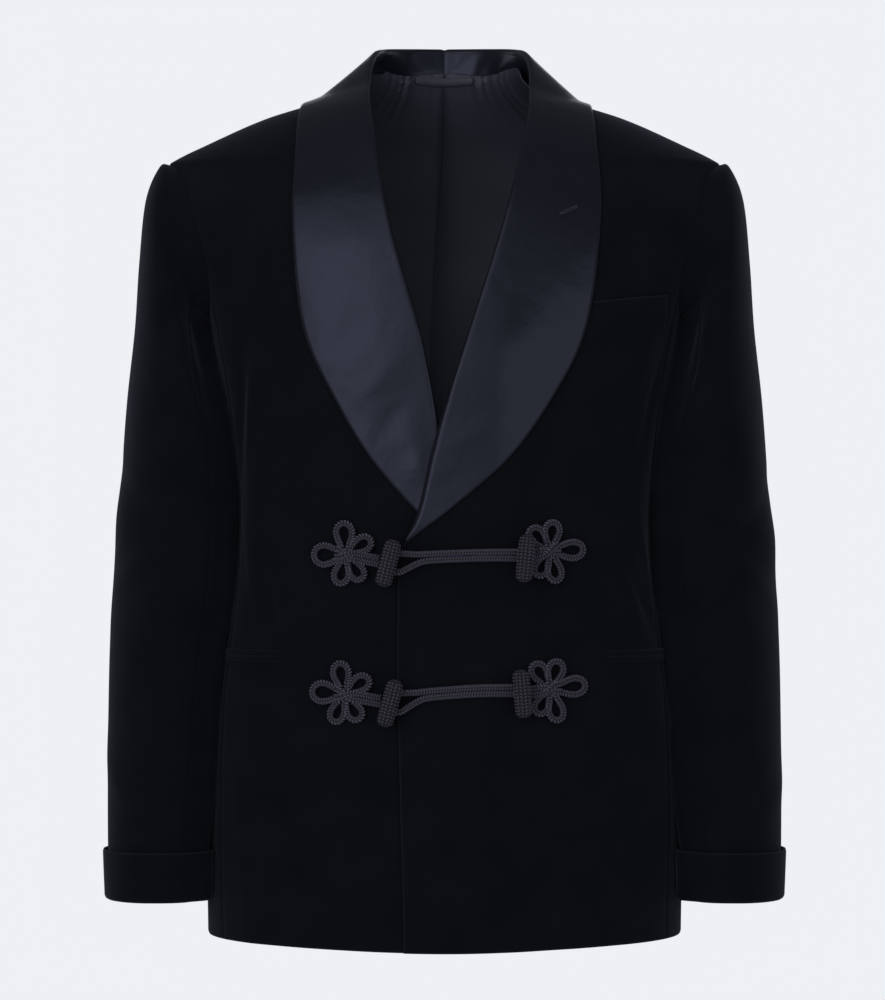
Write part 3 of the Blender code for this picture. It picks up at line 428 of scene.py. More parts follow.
# Rosette petals in turning order from the toggle: direction, length, half width
PETALS = {
    "frog_upper_right": [
        (33, 25.5, 5.8), (95, 28.4, 6.4), (181, 28.0, 7.8), (257, 26.5, 5.8), (302, 25.8, 5.6),
    ],
    "frog_upper_left": [
        (244, 24.5, 5.4), (284, 27.5, 5.6), (2, 30.0, 6.6), (82, 26.2, 6.0), (130, 26.0, 5.8),
    ],
    "frog_lower_right": [
        (38, 25.0, 5.8), (102, 28.6, 6.4), (174, 30.0, 7.4), (246, 26.0, 5.8), (299, 25.0, 5.6),
    ],
    "frog_lower_left": [
        (244, 24.0, 5.4), (285, 28.4, 5.6), (6, 31.6, 6.6), (73, 25.8, 6.0), (121, 26.0, 5.8),
    ],
}

# Petal outline: share of its length, share of its half width
PETAL_SHAPE = [(0.3, 0.52), (0.5, 0.84), (0.72, 1.0), (0.9, 0.76), (0.975, 0.4)]

# Cords of a loop between its two toggles: x, height of the upper and of the lower cord over the loop's middle, share
# of the way down to the right toggle's height
LOOP_ROUTE = [
    (30.0, 2.6, -2.6, 0.0), (0.0, 2.6, -2.6, 0.25), (-15.0, 2.7, -2.8, 0.45), (-22.0, 3.0, -4.4, 0.6),
    (-29.0, 4.2, -7.2, 0.8), (-36.0, 5.4, -9.6, 1.0),
]

# Nose of a loop: its start before the tip and half height there, how much lower the lower cord is, height of the tip
# and its place past the toggle's axis; where and how fast the loop comes down off the left front; its rise over the
# toggles' middles and its start beside the left toggle
LOOP_NOSE_ROUND, LOOP_NOSE_SAG, LOOP_NOSE_Z, LOOP_NOSE = (2.4, 4.6), 3, -1.5, 1.8
LOOP_DROP_X, LOOP_DROP = -39.0, 7.0
LOOP_RAISE, LOOP_SHORT = 2.6, 1.6

# Buttonhole in the left lapel: middle, half length and half width of its ring of thread, lean and points of the ring;
# radius, relief and pitch of the thread
BUTTONHOLE_X, BUTTONHOLE_Z, BUTTONHOLE_LONG, BUTTONHOLE_WIDE = 100.0, -98.7, 8.0, 0.8
BUTTONHOLE_LEAN, BUTTONHOLE_POINTS = 24, 24
BUTTONHOLE_THREAD, BUTTONHOLE_RELIEF, BUTTONHOLE_PITCH = 0.55, 0.3, 1.2

# Toggle barrel: place along its axis, radius, both as shares; its radius and half length; where its caps start, rings
# of a cap and rings between them
BARREL = [(-1.0, 0.3), (-0.97, 0.55), (-0.9, 0.8), (-0.74, 0.95), (0.0, 1.0), (0.74, 0.95), (0.9, 0.8), (0.97, 0.55),
          (1.0, 0.3)]
TOGGLE_RADIUS, TOGGLE_HALF = 6.9, 19.2
TOGGLE_CAP, TOGGLE_CAP_ROWS, TOGGLE_ROWS = 0.9, 14, 100

# Jets: thickness of their cloth, height of their sides over the front, rise and roundness of the ridge, points across
JET_CLOTH, JET_LOW, JET_RISE, JET_ROUND, JET_ROWS = 0.6, 0.25, 1.7, 0.6, 9

# Stage: floor, camera, backdrop and soft light panels (name, place, aim, width, height, power), in metres and watts
FLOOR_Z, FLOOR_SIZE, FLOOR_PAINT, FLOOR_GLOW = -1.45, 9.0, linear("#c8cacf"), 0.72
CAMERA_PLACE, CAMERA_LENS = (-0.0017, -3.25, -0.3335), 139.3
BACKDROP, AMBIENT, LIGHT_TINT = (0.855, 0.871, 0.905), (0.115, 0.12, 0.13), (0.94, 0.97, 1.06)
LIGHTS = [
    ("front_left_panel", (-1.65, -4.0, 0.65), (0.0, 0.0, -0.35), 5.0, 5.2, 41.0),
    ("front_left_core", (-1.7, -3.7, 0.15), (0.0, 0.0, -0.35), 1.9, 2.3, 11.0),
    ("front_right_panel", (2.4, -3.6, -0.8), (0.0, 0.0, -0.35), 3.4, 2.8, 19.0),
    ("left_edge_panel", (-4.2, 1.8, -0.2), (0.0, 0.0, -0.35), 2.0, 3.0, 15.0),
    ("right_edge_panel", (4.2, 1.8, -0.2), (0.0, 0.0, -0.35), 2.0, 3.0, 15.0),
    ("back_panel", (0.6, 5.2, 0.6), (0.0, 0.0, -0.35), 4.0, 3.0, 30.0),
    ("top_panel", (0.0, -0.6, 4.4), (0.0, 0.0, -0.2), 2.8, 2.4, 28.0),
]


class Table:
    """Smooth curves through the columns of a short table, read by the value in its first column."""

    def __init__(self, rows):
        data = np.array(rows, float)
        self.keys, self.values = data[:, 0], data[:, 1:]
        self.slopes = np.zeros_like(self.values)
        steps = np.diff(self.values, axis=0) / np.diff(self.keys)[:, None]
        before, after = steps[:-1], steps[1:]
        same_way = before * after > 0
        total = np.where(same_way, before + after, 1.0)
        self.slopes[1:-1] = np.where(same_way, 2 * before * after / total, 0.0)

    def at(self, key):
        key = np.clip(np.asarray(key, float), self.keys[0], self.keys[-1])
        i = np.clip(np.searchsorted(self.keys, key) - 1, 0, len(self.keys) - 2)
        span = self.keys[i + 1] - self.keys[i]
        t = (key - self.keys[i]) / span
        t, span = t[..., None], span[..., None]
        start, end = self.values[i], self.values[i + 1]
        leave, reach = self.slopes[i] * span, self.slopes[i + 1] * span
        bend = (3 * t * t - 2 * t ** 3) * (end - start)
        values = start + bend + (t ** 3 - 2 * t * t + t) * leave + (t ** 3 - t * t) * reach
        return np.moveaxis(values, -1, 0)


BODY = Table(BODY_SECTIONS)
EDGE = Table(FRONT_EDGE)


def mix(a, b, t):
    return a + (b - a) * t


def ease(t):
    t = np.clip(t, 0.0, 1.0)
    return t * t * (3 - 2 * t)


def unit(v):
    return v / np.maximum(np.linalg.norm(v, axis=-1, keepdims=True), 1e-9)


def bell(across, along):
    """Height of a fold from 1 at its middle to nearly 0, at distances counted in its half width and half length."""
    return np.exp(-across ** 2 - along ** 2)


def leaned(across, along, lean):
    """Distances across and along a crease that leans by so many degrees."""
    sine, cosine = math.sin(math.radians(lean)), math.cos(math.radians(lean))
    return across * cosine - along * sine, along * cosine + across * sine


def rows_of(table, side):
    """Rows of a table that are on that side, without their first column."""
    return [row[1:] for row in table if row[0] == side]


def smooth_path(points, t):
    """Points at t from 0 to 1 on a smooth curve through points, whose first axis runs along the curve."""
    t = np.asarray(t, float)
    place = np.clip(t, 0.0, 1.0) * (len(points) - 1)
    i = np.minimum(place.astype(int), len(points) - 2)
    f = (place - i)[..., None]

    def pick(index):
        if points.ndim == 2:
            return points[index]
        return np.take_along_axis(points, index[None, ..., None], 0)[0]

    here, after = pick(i), pick(i + 1)
    first, last = (i == 0)[..., None], (i == len(points) - 2)[..., None]
    before = np.where(first, 2 * here - after, pick(np.maximum(i - 1, 0)))
    beyond = np.where(last, 2 * after - here, pick(np.minimum(i + 2, len(points) - 1)))
    bend = (2 * before - 5 * here + 4 * after - beyond) * f + (3 * here - before - 3 * after + beyond) * f * f
    return here + 0.5 * f * (after - before + bend)


def body_fold(side, angle, z):
    """Rise of the cloth off the plain form: its largest folds and its finer creases."""
    rise = np.zeros_like(angle)
    for fold_angle, fold_z, half_turn, half_length, height in rows_of(BODY_FOLDS, side):
        rise += height * bell((angle - fold_angle) / half_turn, (z - fold_z) / half_length)
    depth = bpy.context.scene.jacket_sizes.crease_depth
    for crease_angle, crease_z, lean, half_width, half_length, height in rows_of(BODY_CREASES, side):
        across, along = leaned((angle - crease_angle) * CREASE_MM_A_DEGREE, z - crease_z, lean)
        rise += depth * height * bell(across / half_width, along / half_length)
    return rise


def form_point(side, angle, z):
    """Points of the body form: angle 0 is centre front, 90 the side and 180 centre back."""
    angle, z = np.broadcast_arrays(np.asarray(angle, float), np.asarray(z, float))
    half_width, front, back, square = BODY.at(z)
    sine, cosine = np.sin(np.radians(angle)), np.cos(np.radians(angle))
    depth = np.where(cosine > 0, front, back)
    reach = ((np.abs(sine) / half_width) ** square + (np.abs(cosine) / depth) ** square) ** (-1 / square)
    reach = reach + body_fold(side, angle, z)
    return np.stack((side * reach * sine, -reach * cosine, z), -1)


def form_normal(side, angle, z):
    around = form_point(side, angle + NORMAL_TURN, z) - form_point(side, angle - NORMAL_TURN, z)
    upward = form_point(side, angle, z + NORMAL_RISE) - form_point(side, angle, z - NORMAL_RISE)
    return side * unit(np.cross(around, upward))


def moved_out(side, angle, z, out):
    angle, z = np.asarray(angle, float), np.asarray(z, float)
    return form_point(side, angle, z) + form_normal(side, angle, z) * np.asarray(out, float)[..., None]


def front_angle(x, z):
    """Angle of the form's front at a distance x from the centre, on its own side."""
    half_width, front, _, square = BODY.at(z)
    share = np.minimum(np.abs(x) / half_width, 1.0)
    return np.degrees(np.arctan2(x, front * (1 - share ** square) ** (1 / square)))


def lap_lift(side, x, z):
    """How far the left front stands off the form where it laps over the right one."""
    if side < 0:
        return np.zeros_like(x)
    across = ease((LAP_NONE_X - x) / (LAP_NONE_X - LAP_FULL_X))
    lift = mix(LAP_LIFT, LAP_LOW_LIFT, ease((LAP_LOW_FROM_Z - z) / (LAP_LOW_FROM_Z - LAP_LOW_TO_Z)))
    return lift * across * ease((LAP_TOP_Z - z) / (LAP_TOP_Z - LAP_DEEP_Z))


def on_front(side, x, z, out):
    """Points above a front panel, x measured on its own side."""
    x, z = np.broadcast_arrays(np.asarray(x, float), np.asarray(z, float))
    return moved_out(side, front_angle(x, z), z, out + lap_lift(side, x, z))


def armhole(turn):
    """Angle and height on the armhole: turn 0 is the shoulder tip, 90 the front, 180 the armpit."""
    sine, cosine = np.sin(np.radians(turn)), np.cos(np.radians(turn))
    swing = np.where(sine > 0, ARMHOLE_FRONT, ARMHOLE_BACK)
    return 90 - swing * sine * (1 - ARMHOLE_SKEW * cosine), mix(ARMPIT_Z, SHOULDER_TIP_Z, 0.5 + 0.5 * cosine)


UNDERARM_Z = float(armhole(UNDERARM_TURN)[1])
SEAMS = Table(SIDE_SEAMS + [(UNDERARM_Z, float(armhole(UNDERARM_TURN)[0]), float(armhole(-UNDERARM_TURN)[0]))])


def hem_z(angle):
    return HEM_Z + HEM_RISE * np.sin(np.radians(angle)) ** 2


def off_form(side, place):
    """Angle of points round the form, the form's normal there and their height over it."""
    angle = np.degrees(np.arctan2(side * place[..., 0], -place[..., 1]))
    normal = form_normal(side, angle, place[..., 2])
    return angle, normal, ((place - form_point(side, angle, place[..., 2])) * normal).sum(-1)


def seated(side, place, out):
    """The points themselves, or pushed out until they are that far off the body and its lap, below the neck."""
    held = 1 - ease((place[..., 2] - NECK_POINT_Z) / NECK_FREE)
    for _ in range(SEAT_ROUNDS):
        angle, normal, height = off_form(side, place)
        lift = np.where(np.abs(angle) < 90, lap_lift(side, side * place[..., 0], place[..., 2]), 0.0)
        place = place + normal * (held * np.maximum(out + lift - height, 0.0))[..., None]
    return place


def sleeve_point(side, turn, along):
    """Outside of a sleeve: turn 0 is the outer edge, 90 the front, 180 the inner edge."""
    turn, along = np.broadcast_arrays(np.asarray(turn, float), np.asarray(along, float))
    sine, cosine = np.sin(np.radians(turn)), np.cos(np.radians(turn))
    power = np.where(cosine < 0, 2 / SLEEVE_INNER_SQUARE, 1.0)
    forward = np.sign(sine) * np.abs(sine) ** power
    outward = 0.5 + 0.5 * np.sign(cosine) * np.abs(cosine) ** power
    line = [form_point(side, *armhole(turn))]
    for outer_x, outer_z, inner_x, inner_z, middle_y, front, back in SLEEVE_RINGS:
        depth = np.where(sine > 0, front, back)
        x, z = mix(inner_x, outer_x, outward), mix(inner_z, outer_z, outward)
        line.append(np.stack((side * x, middle_y - depth * forward, z), -1))
    place = smooth_path(np.stack(line), along)
    z = place[..., 2]
    held = ease((SLEEVE_FREE_Z - z) / (SLEEVE_FREE_Z - SLEEVE_HELD_Z))
    cuff_room = (CUFF_WALL + CUFF_FLARE + LAYER) * ease((CUFF_TOP_Z + CUFF_BLEND - z) / CUFF_BLEND)
    room = SLEEVE_TOUCH + SLEEVE_JET_ROOM * np.exp(-((z - JET_Z) / SLEEVE_JET_TALL) ** 2) + cuff_room
    place = place + (seated(side, place, room) - place) * held[..., None]
    return hugging(side, place, room, ease(-cosine * HUG_SIDE) * ease((ARMPIT_Z + HUG_DROP - z) / HUG_BLEND))


def hugging(side, place, room, share):
    """Points near the body drawn in until they lie against it, as a sleeve does that hangs on the side."""
    _, normal, height = off_form(side, place)
    spare = np.maximum(height - room, 0.0)
    return place - normal * (share * spare * ease((HUG_REACH * SLEEVE_HUG - spare) / SLEEVE_HUG))[..., None]


def sleeve_fold(side, turn, along):
    rise = np.zeros(np.broadcast(turn, along).shape)
    for fold_turn, fold_along, half_turn, half_along, slant, height in rows_of(SLEEVE_FOLDS, side):
        off = (turn - fold_turn + 180) % 360 - 180
        rise += height * bell(off / half_turn, (along - fold_along - slant * off) / half_along)
    return rise * bpy.context.scene.jacket_sizes.crease_depth


def collar_line(side, kind):
    """Roll line or outer edge of a collar half, from centre back to the break."""
    rows = np.array(COLLAR_STATIONS, float)
    line = (rows[:, 0:3] if kind == "roll" else rows[:, 3:6]).copy()
    if side < 0:
        line[:, 0] = rows[:, 6 if kind == "roll" else 7]
    return line * (side, 1, 1)


def side_name(side):
    return "left" if side > 0 else "right"


def stops(length, step, fine_start=True, fine_end=True):
    """Places from 0 to 1 along a length, a step apart and closer beside an edge, so that it can turn down."""
    start = EDGE_STOPS if fine_start else (0.0,)
    end = EDGE_STOPS if fine_end else (0.0,)
    inner = length - start[-1] - end[-1]
    count = max(int(round(inner / step)), 2)
    middle = start[-1] + inner * np.arange(1, count) / count
    return np.concatenate((start, middle, length - np.array(end)[::-1])) / length


def grid_normals(points):
    """Normals of a grid of points: columns run to the right and rows upwards on the side that shows."""
    return unit(np.cross(np.gradient(points, axis=1), np.gradient(points, axis=0)))


def edge_distances(points, edges):
    """Kind of each edge of a grid and how far every point is from it: first and last column, first and last row."""
    for axis, kinds in ((1, edges[:2]), (0, edges[2:])):
        start = np.insert(np.linalg.norm(np.diff(points, axis=axis), axis=-1).cumsum(axis), 0, 0.0, axis=axis)
        yield kinds[0], start
        yield kinds[1], np.take(start, [-1], axis=axis) - start


def turned_down(points, edges):
    """The grid with its edges bent down.

    A seam (s, or u where its allowance goes under the neighbour) sinks softly where its stitches pull, and less where
    the neighbour's allowance is under it and at the armhole (a); a free edge (f) is rounded by its fold, and - is
    left alone.
    """
    normals = grid_normals(points)
    drop = np.zeros(points.shape[:2])
    for kind, distance in edge_distances(points, edges):
        if kind != "-":
            depth, width = EDGE_DROPS[kind]
            drop = np.maximum(drop, depth * np.exp(-(distance / width) ** 2))
    return points - normals * drop[..., None]


def fold_highlight(points, edges):
    """Share of painted highlight at each point: full on a free fold, where its edge catches the light, none a little
    away.
    """
    highlit = np.zeros(points.shape[:2])
    for kind, distance in edge_distances(points, edges):
        if kind == "f":
            highlit = np.maximum(highlit, np.exp(-(distance / FOLD_HIGHLIGHT_WIDTH) ** 2))
    return highlit


def underlapped(points, wall, edges):
    """The grid with a seam allowance folded under the neighbour at each edge marked u."""
    for number, (axis, last) in enumerate(((1, False), (1, True), (0, False), (0, True))):
        if edges[number] != "u":
            continue
        normals = grid_normals(points)
        at, beside = (-1, -2) if last else (0, 1)
        edge, inner = np.take(points, at, axis=axis), np.take(points, beside, axis=axis)
        down = edge - np.take(normals, at, axis=axis) * (wall + UNDERLAP_ROOM)
        under = down + unit(edge - inner) * UNDERLAP
        extra = np.stack((down, under) if last else (under, down), axis=axis)
        points = np.concatenate((points, extra) if last else (extra, points), axis=axis)
    return points


def cloth(name, points, wall, material, edges="ssss", closed=False):
    """Sheet of cloth on a grid of points in mm, with its wall on the side away from the eye."""
    points = underlapped(turned_down(points, edges), wall, edges)
    rows, columns = points.shape[:2]
    bpy.ops.object.select_all(action="DESELECT")
    bpy.ops.mesh.primitive_grid_add(x_subdivisions=columns - 1, y_subdivisions=rows - 1, size=1.0)
    piece = bpy.context.object
    piece.name = piece.data.name = name
    if len(piece.data.vertices) != rows * columns:
        raise RuntimeError(f"{name}: the grid has {len(piece.data.vertices)} points, not {rows * columns}")
    piece.data.vertices.foreach_set("co", (points * MM).astype(np.float32).ravel())
    # Painted highlight along free folds, kept on the points for the velvet's material
    highlit = piece.data.attributes.new("fold_highlight", "FLOAT", "POINT")
    highlit.data.foreach_set("value", fold_highlight(points, edges).astype(np.float32).ravel())
    width = np.linalg.norm(np.diff(points, axis=1), axis=-1).sum(1).mean() * MM
    length = np.linalg.norm(np.diff(points, axis=0), axis=-1).sum(0).mean() * MM
    places = np.empty(len(piece.data.loops) * 2, np.float32)
    piece.data.uv_layers[0].data.foreach_get("uv", places)
    places = places.reshape(-1, 2) * np.array((width, length), np.float32)
    piece.data.uv_layers[0].data.foreach_set("uv", places.ravel())
    piece.data.update()
    if closed:
        bpy.ops.object.mode_set(mode="EDIT")
        bpy.ops.mesh.select_all(action="SELECT")
        bpy.ops.mesh.remove_doubles(threshold=WELD * MM)
        bpy.ops.object.mode_set(mode="OBJECT")
    solid = piece.modifiers.new("wall", "SOLIDIFY")
    solid.thickness, solid.offset = wall * MM, -1.0
    bpy.ops.object.modifier_apply(modifier="wall")
    rim = piece.modifiers.new("rim", "BEVEL")
    rim.width, rim.segments = RIM_ROUND * MM, RIM_SEGMENTS
    rim.limit_method, rim.angle_limit = "ANGLE", math.radians(RIM_ANGLE)
    bpy.ops.object.modifier_apply(modifier="rim")
    bpy.ops.object.shade_smooth_by_angle(angle=math.radians(SMOOTH_ANGLE))
    piece.data.materials.clear()
    piece.data.materials.append(material)
    return piece


def outward(side, points):
    """Columns turned round on the right side, so that both sides face out."""
    return points if side > 0 else points[:, ::-1]


def body_rows(low, high, step, bottom=0.0):
    """Rows from the bottom over 1, the armpit, to 2, the shoulder seam, for lengths below and above the armpit."""
    below, above = stops(low, step, True, False), stops(high, step, False, True)
    return np.concatenate((mix(bottom, 1.0, below), 1 + above[1:]))[:, None]


def front_points(side, step):
    """Front from the hem to the shoulder seam, its inner edge held back under the collar's roll."""
    rows = body_rows(BODY_LOW, FRONT_HIGH, step)
    share = stops(FRONT_WIDE, step)[None, :]
    low, high = np.minimum(rows, 1.0), np.maximum(rows - 1, 0.0)
    seam_bottom = hem_z(SEAMS.at(HEM_Z)[0])
    level = mix(seam_bottom, UNDERARM_Z, low)
    inner_z = mix(mix(HEM_Z, UNDERARM_Z, low), NECK_POINT_Z, high)
    inner_x = EDGE.at(inner_z)[0] + FRONT_UNDER_ROLL * ease((inner_z - UNDER_ROLL_Z) / UNDER_ROLL_BLEND)
    if side < 0:
        held = RIGHT_ROLL_BACK * ease((RIGHT_BACK_TOP_Z - inner_z) / RIGHT_BACK_TOP_BLEND)
        inner_x = inner_x + held * ease((inner_z - RIGHT_BACK_LOW_Z) / RIGHT_BACK_LOW_BLEND)
    inner = front_angle(inner_x, inner_z)
    hole_angle, hole_z = armhole(mix(UNDERARM_TURN, 0, high))
    outer, outer_z = np.where(high > 0, hole_angle, SEAMS.at(level)[0]), np.where(high > 0, hole_z, level)
    angle, z = mix(inner, outer, share), mix(inner_z, outer_z, share)
    z = z + (hem_z(angle) - mix(HEM_Z, seam_bottom, share)) * (1 - low) ** 4
    x = side * form_point(side, angle, z)[..., 0]
    return outward(side, moved_out(side, angle, z, lap_lift(side, x, z)))


def back_places(rows, share):
    """Angle and height of a back half at rows from 0, the hem, over 1, the armpit, to 2, the shoulder seam."""
    low, high = np.minimum(rows, 1.0), np.maximum(rows - 1, 0.0)
    level = mix(hem_z(SEAMS.at(HEM_Z)[1]), UNDERARM_Z, low)
    neck = np.maximum(high - NAPE_ROW, 0.0) / (1 - NAPE_ROW)
    rise = mix(mix(HEM_Z, UNDERARM_Z, low), NAPE_Z, np.minimum(high / NAPE_ROW, 1.0))
    inner, inner_z = mix(180.0, 90.0, neck), mix(rise, NECK_POINT_Z, ease(neck))
    hole_angle, hole_z = armhole(-mix(UNDERARM_TURN, 0, high))
    outer, outer_z = np.where(high > 0, hole_angle, SEAMS.at(level)[1]), np.where(high > 0, hole_z, level)
    return mix(inner, outer, share), mix(inner_z, outer_z, share)


def back_points(side, step):
    angle, z = back_places(body_rows(BODY_LOW, BACK_HIGH, step), stops(BACK_WIDE, step)[None, :])
    return outward(side, form_point(side, angle, z)[:, ::-1])


def side_points(side, step):
    share = stops(SIDE_WIDE, step)[None, :]
    rows = stops(SIDE_TALL, step)[:, None]
    hole_angle, hole_z = armhole(mix(UNDERARM_TURN, 360 - UNDERARM_TURN, share))
    top_front, top_back = SEAMS.at(UNDERARM_Z)
    low_front, low_back = SEAMS.at(HEM_Z)
    bottom_z = hem_z(mix(low_front, low_back, share))
    front_seam, back_seam = SEAMS.at(mix(bottom_z, UNDERARM_Z, rows))
    turn_in = (hole_angle - mix(top_front, top_back, share)) * rows ** 3
    angle, z = mix(front_seam, back_seam, share) + turn_in, mix(bottom_z, hole_z, rows)
    return outward(side, form_point(side, angle, z))


def lining_points(side, step):
    """Back lining with small tucks below the neck seam and a pleat at the centre, on the inside of the back."""
    rows = body_rows(LINING_LOW, BACK_HIGH, step, LINING_ROW)
    share = stops(BACK_WIDE, step)[None, :]
    angle, z = back_places(rows, LINING_EDGE + (1 - 2 * LINING_EDGE) * share)
    rim = mix(NAPE_Z, NECK_POINT_Z, ease((180 - angle) / 90))
    below = np.maximum(rim - z, 0.0)
    beside = LINING_SIDE_RISE * np.exp(-((angle - SIDE_RISE_ANGLE) / SIDE_RISE_TURN) ** 2)
    z = z + (LINING_RISE + beside) * np.exp(-(below / SIDE_RISE_REACH) ** 2)
    tucks = np.zeros_like(z)
    for tuck_angle, half_turn, reach, height in rows_of(LINING_TUCKS, side):
        tucks += height * bell((angle - tuck_angle) / half_turn, below / reach)
    # The lining hangs a little off the back; beside the pleat the right half lies close to it, so the pleat is shaded
    hollow = np.exp(-(share / PLEAT_HOLLOW) ** 2) if side < 0 else 0.0
    loft = LINING_LOFT * ease(below / LOFT_REACH) * (1 - share ** 6) * (1 - hollow)
    inside = -(VELVET + LAYER + LINING) - tucks - loft
    if side > 0:
        fold = (1 - share) ** PLEAT_FOLD_POWER
        angle = angle + PLEAT_TURN * fold * ease(below / PLEAT_LONG)
        inside = inside - PLEAT_LIFT * (1 - share) ** PLEAT_EDGE_POWER * ease(below / PLEAT_EDGE_REACH)
    return outward(side, moved_out(side, angle, z, inside))


def sleeve_points(side, start, end, step):
    turns = mix(start, end, stops((end - start) * SLEEVE_MM_A_DEGREE, step))[None, :]
    rows = stops(SLEEVE_LONG, step)[:, None] * SLEEVE_END
    points = sleeve_point(side, turns, rows)
    points = points + side * grid_normals(points) * sleeve_fold(side, turns, rows)[..., None]
    points = turned_down(outward(side, points), "--a-")
    hole_angle, hole_z = armhole(outward(side, turns))
    middle_z = 0.5 * (SHOULDER_TIP_Z + ARMPIT_Z)
    allowance = []
    for spread in (ARMHOLE_UNDERLAP, 1.0):
        angle, z = 90 + (hole_angle - 90) * spread, middle_z + (hole_z - middle_z) * spread
        allowance.append(moved_out(side, angle, z, np.full_like(z, -VELVET - UNDERLAP_ROOM)))
    return np.concatenate((*allowance, points))


def sleeve_at(side, turn, z):
    """Points of the sleeve at a height, and how they face level round the arm."""
    low, high = (np.full_like(turn, end) for end in CUFF_SEARCH)
    for _ in range(SEARCH_ROUNDS):
        middle = 0.5 * (low + high)
        above = sleeve_point(side, turn, middle)[..., 2] > z
        low, high = np.where(above, middle, low), np.where(above, high, middle)
    around = sleeve_point(side, turn + SLEEVE_TURN_STEP, high) - sleeve_point(side, turn - SLEEVE_TURN_STEP, high)
    facing = side * np.stack((around[..., 1], -around[..., 0], np.zeros_like(turn)), -1)
    return sleeve_point(side, turn, high), -unit(facing)


def cuff_points(side, step):
    """Turned-back cuff: down the outside, round the fold at the wrist and up inside the sleeve."""
    turns = (SLEEVE_BACK_SEAM + 360 * np.arange(CUFF_COLUMNS + 1) / CUFF_COLUMNS)[None, :]
    outside, inside = LAYER + CUFF_WALL, -(VELVET + LAYER + CUFF_CLOTH)
    bend = 0.5 * (outside - inside)
    profile = []
    for v in 1 - stops(CUFF_TOP_Z - CUFF_BOTTOM_Z - bend, step, True, False):
        profile.append((outside + CUFF_FLARE * v, mix(CUFF_BOTTOM_Z + bend, CUFF_TOP_Z, v)))
    for turn in np.radians(CUFF_FOLD_TURNS):
        profile.append((outside - bend + bend * math.cos(turn), CUFF_BOTTOM_Z + bend - bend * math.sin(turn)))
    for up in CUFF_INSIDE_RISES:
        profile.append((inside, CUFF_BOTTOM_Z + bend + up))
    offset, z = np.array(profile).T[:, :, None]
    turns, z = np.broadcast_arrays(turns, z)
    points, facing = sleeve_at(side, turns, z)
    points = points + facing * offset[..., None]
    points[..., 2] = z
    return outward(side, points)


def collar_crease(side, s, share, width):
    """Rise of the soft creases in the collar's satin."""
    rise = np.zeros(np.broadcast(s, share).shape)
    for crease_s, crease_share, lean, half_width, half_length, height in rows_of(COLLAR_CREASES, side):
        across, along = leaned((share - crease_share) * width, (s - crease_s) * COLLAR_LONG, lean)
        rise = rise + height * bell(across / half_width, along / half_length)
    return rise * ease(CREASE_FADE - CREASE_FADE * share)


def eased(points, rounds, s):
    """The grid drawn towards its neighbours along the collar, so that no kink of the form below catches the light."""
    smooth = points
    for _ in range(rounds):
        middle = 0.25 * smooth[:-2] + 0.5 * smooth[1:-1] + 0.25 * smooth[2:]
        smooth = np.concatenate((smooth[:1], middle, smooth[-1:]))
    return mix(points, smooth, (ease((s - EASE_FROM) / EASE_BLEND) * ease((EASE_TO - s) / EASE_BLEND))[..., None])


def collar_path(side, kind, s):
    """Smooth roll line or outer edge of a collar half, level with the other half where they meet at centre back."""
    line = collar_line(side, kind)
    line = np.concatenate((line[1:2] * (-1, 1, 1), line))
    return smooth_path(line, (1 + s * (len(line) - 2)) / (len(line) - 1))


def collar_grid(side, step):
    """Places along a collar half from centre back to the break, and its rows of points: facing, roll and fall."""
    s = stops(COLLAR_LONG, step)[:, None]
    roll, edge = collar_path(side, "roll", s[:, 0]), collar_path(side, "edge", s[:, 0])
    width = np.linalg.norm(edge - roll, axis=-1)[:, None]
    at_front = ease((s - LAPEL_FROM) / LAPEL_BLEND)
    puff = ROLL_PUFF * ease(2 - PUFF_FADE * s)
    at_break = ease((s - BREAK_FROM) / BREAK_BLEND)
    bend_round = np.minimum(mix(mix(NECK_ROLL, LAPEL_ROLL, at_front), BREAK_ROLL, at_break), ROLL_MOST * width)
    share = mix(np.minimum(bend_round / width, 0.5), 1.0, stops(COLLAR_WIDE, step, False, True)[None, :])
    out = COLLAR_LAYER + SATIN + puff * (1 - share) ** 2
    fall = eased(seated(side, roll[:, None] + (edge - roll)[:, None] * share[..., None], out), COLLAR_EASE, s)
    fall = fall - side * grid_normals(fall) * collar_crease(side, s, share, width)[..., None]
    normal = -side * grid_normals(fall)[:, 0]
    normal[0] = unit(normal[0] * (0, 1, 1))
    inward = unit(fall[:, 1] - fall[:, 0])
    # At the neck the roll turns until it hangs straight down inside, and over the fronts until it runs back under
    climb = np.arctan2(-inward[:, 2:], -np.hypot(inward[:, :1], inward[:, 1:2]))
    curl = mix(mix(1.5 * math.pi - climb, math.pi, at_front), BREAK_CURL * math.pi, at_break)
    turns = (curl * np.array(CURL_SHARES))[..., None]
    centre = (fall[:, 0] - normal * bend_round)[:, None]
    bend = centre + bend_round[..., None] * (normal[:, None] * np.cos(turns) - inward[:, None] * np.sin(turns))
    heading = -normal * np.sin(curl) - inward * np.cos(curl)
    at_neck = mix(NECK_REACH, SHOULDER_REACH, ease((s - SHOULDER_FROM) / SHOULDER_BLEND))
    reach_share = mix(at_neck, 1.0, at_front) * mix(1.0, BREAK_REACH, at_break)
    facing = []
    for reach, sink in FACING_ROWS:
        sunk = (VELVET + LAYER + puff + FACING_GAP) * sink * at_front
        facing.append(bend[:, 0] + heading * (FACING_GAP + reach * reach_share) - normal * sunk)
    return s[:, 0], np.concatenate((np.stack(facing, 1), bend, fall), axis=1)


def collar_points(side, step):
    points = collar_grid(side, step)[1]
    return points if side < 0 else points[:, ::-1]


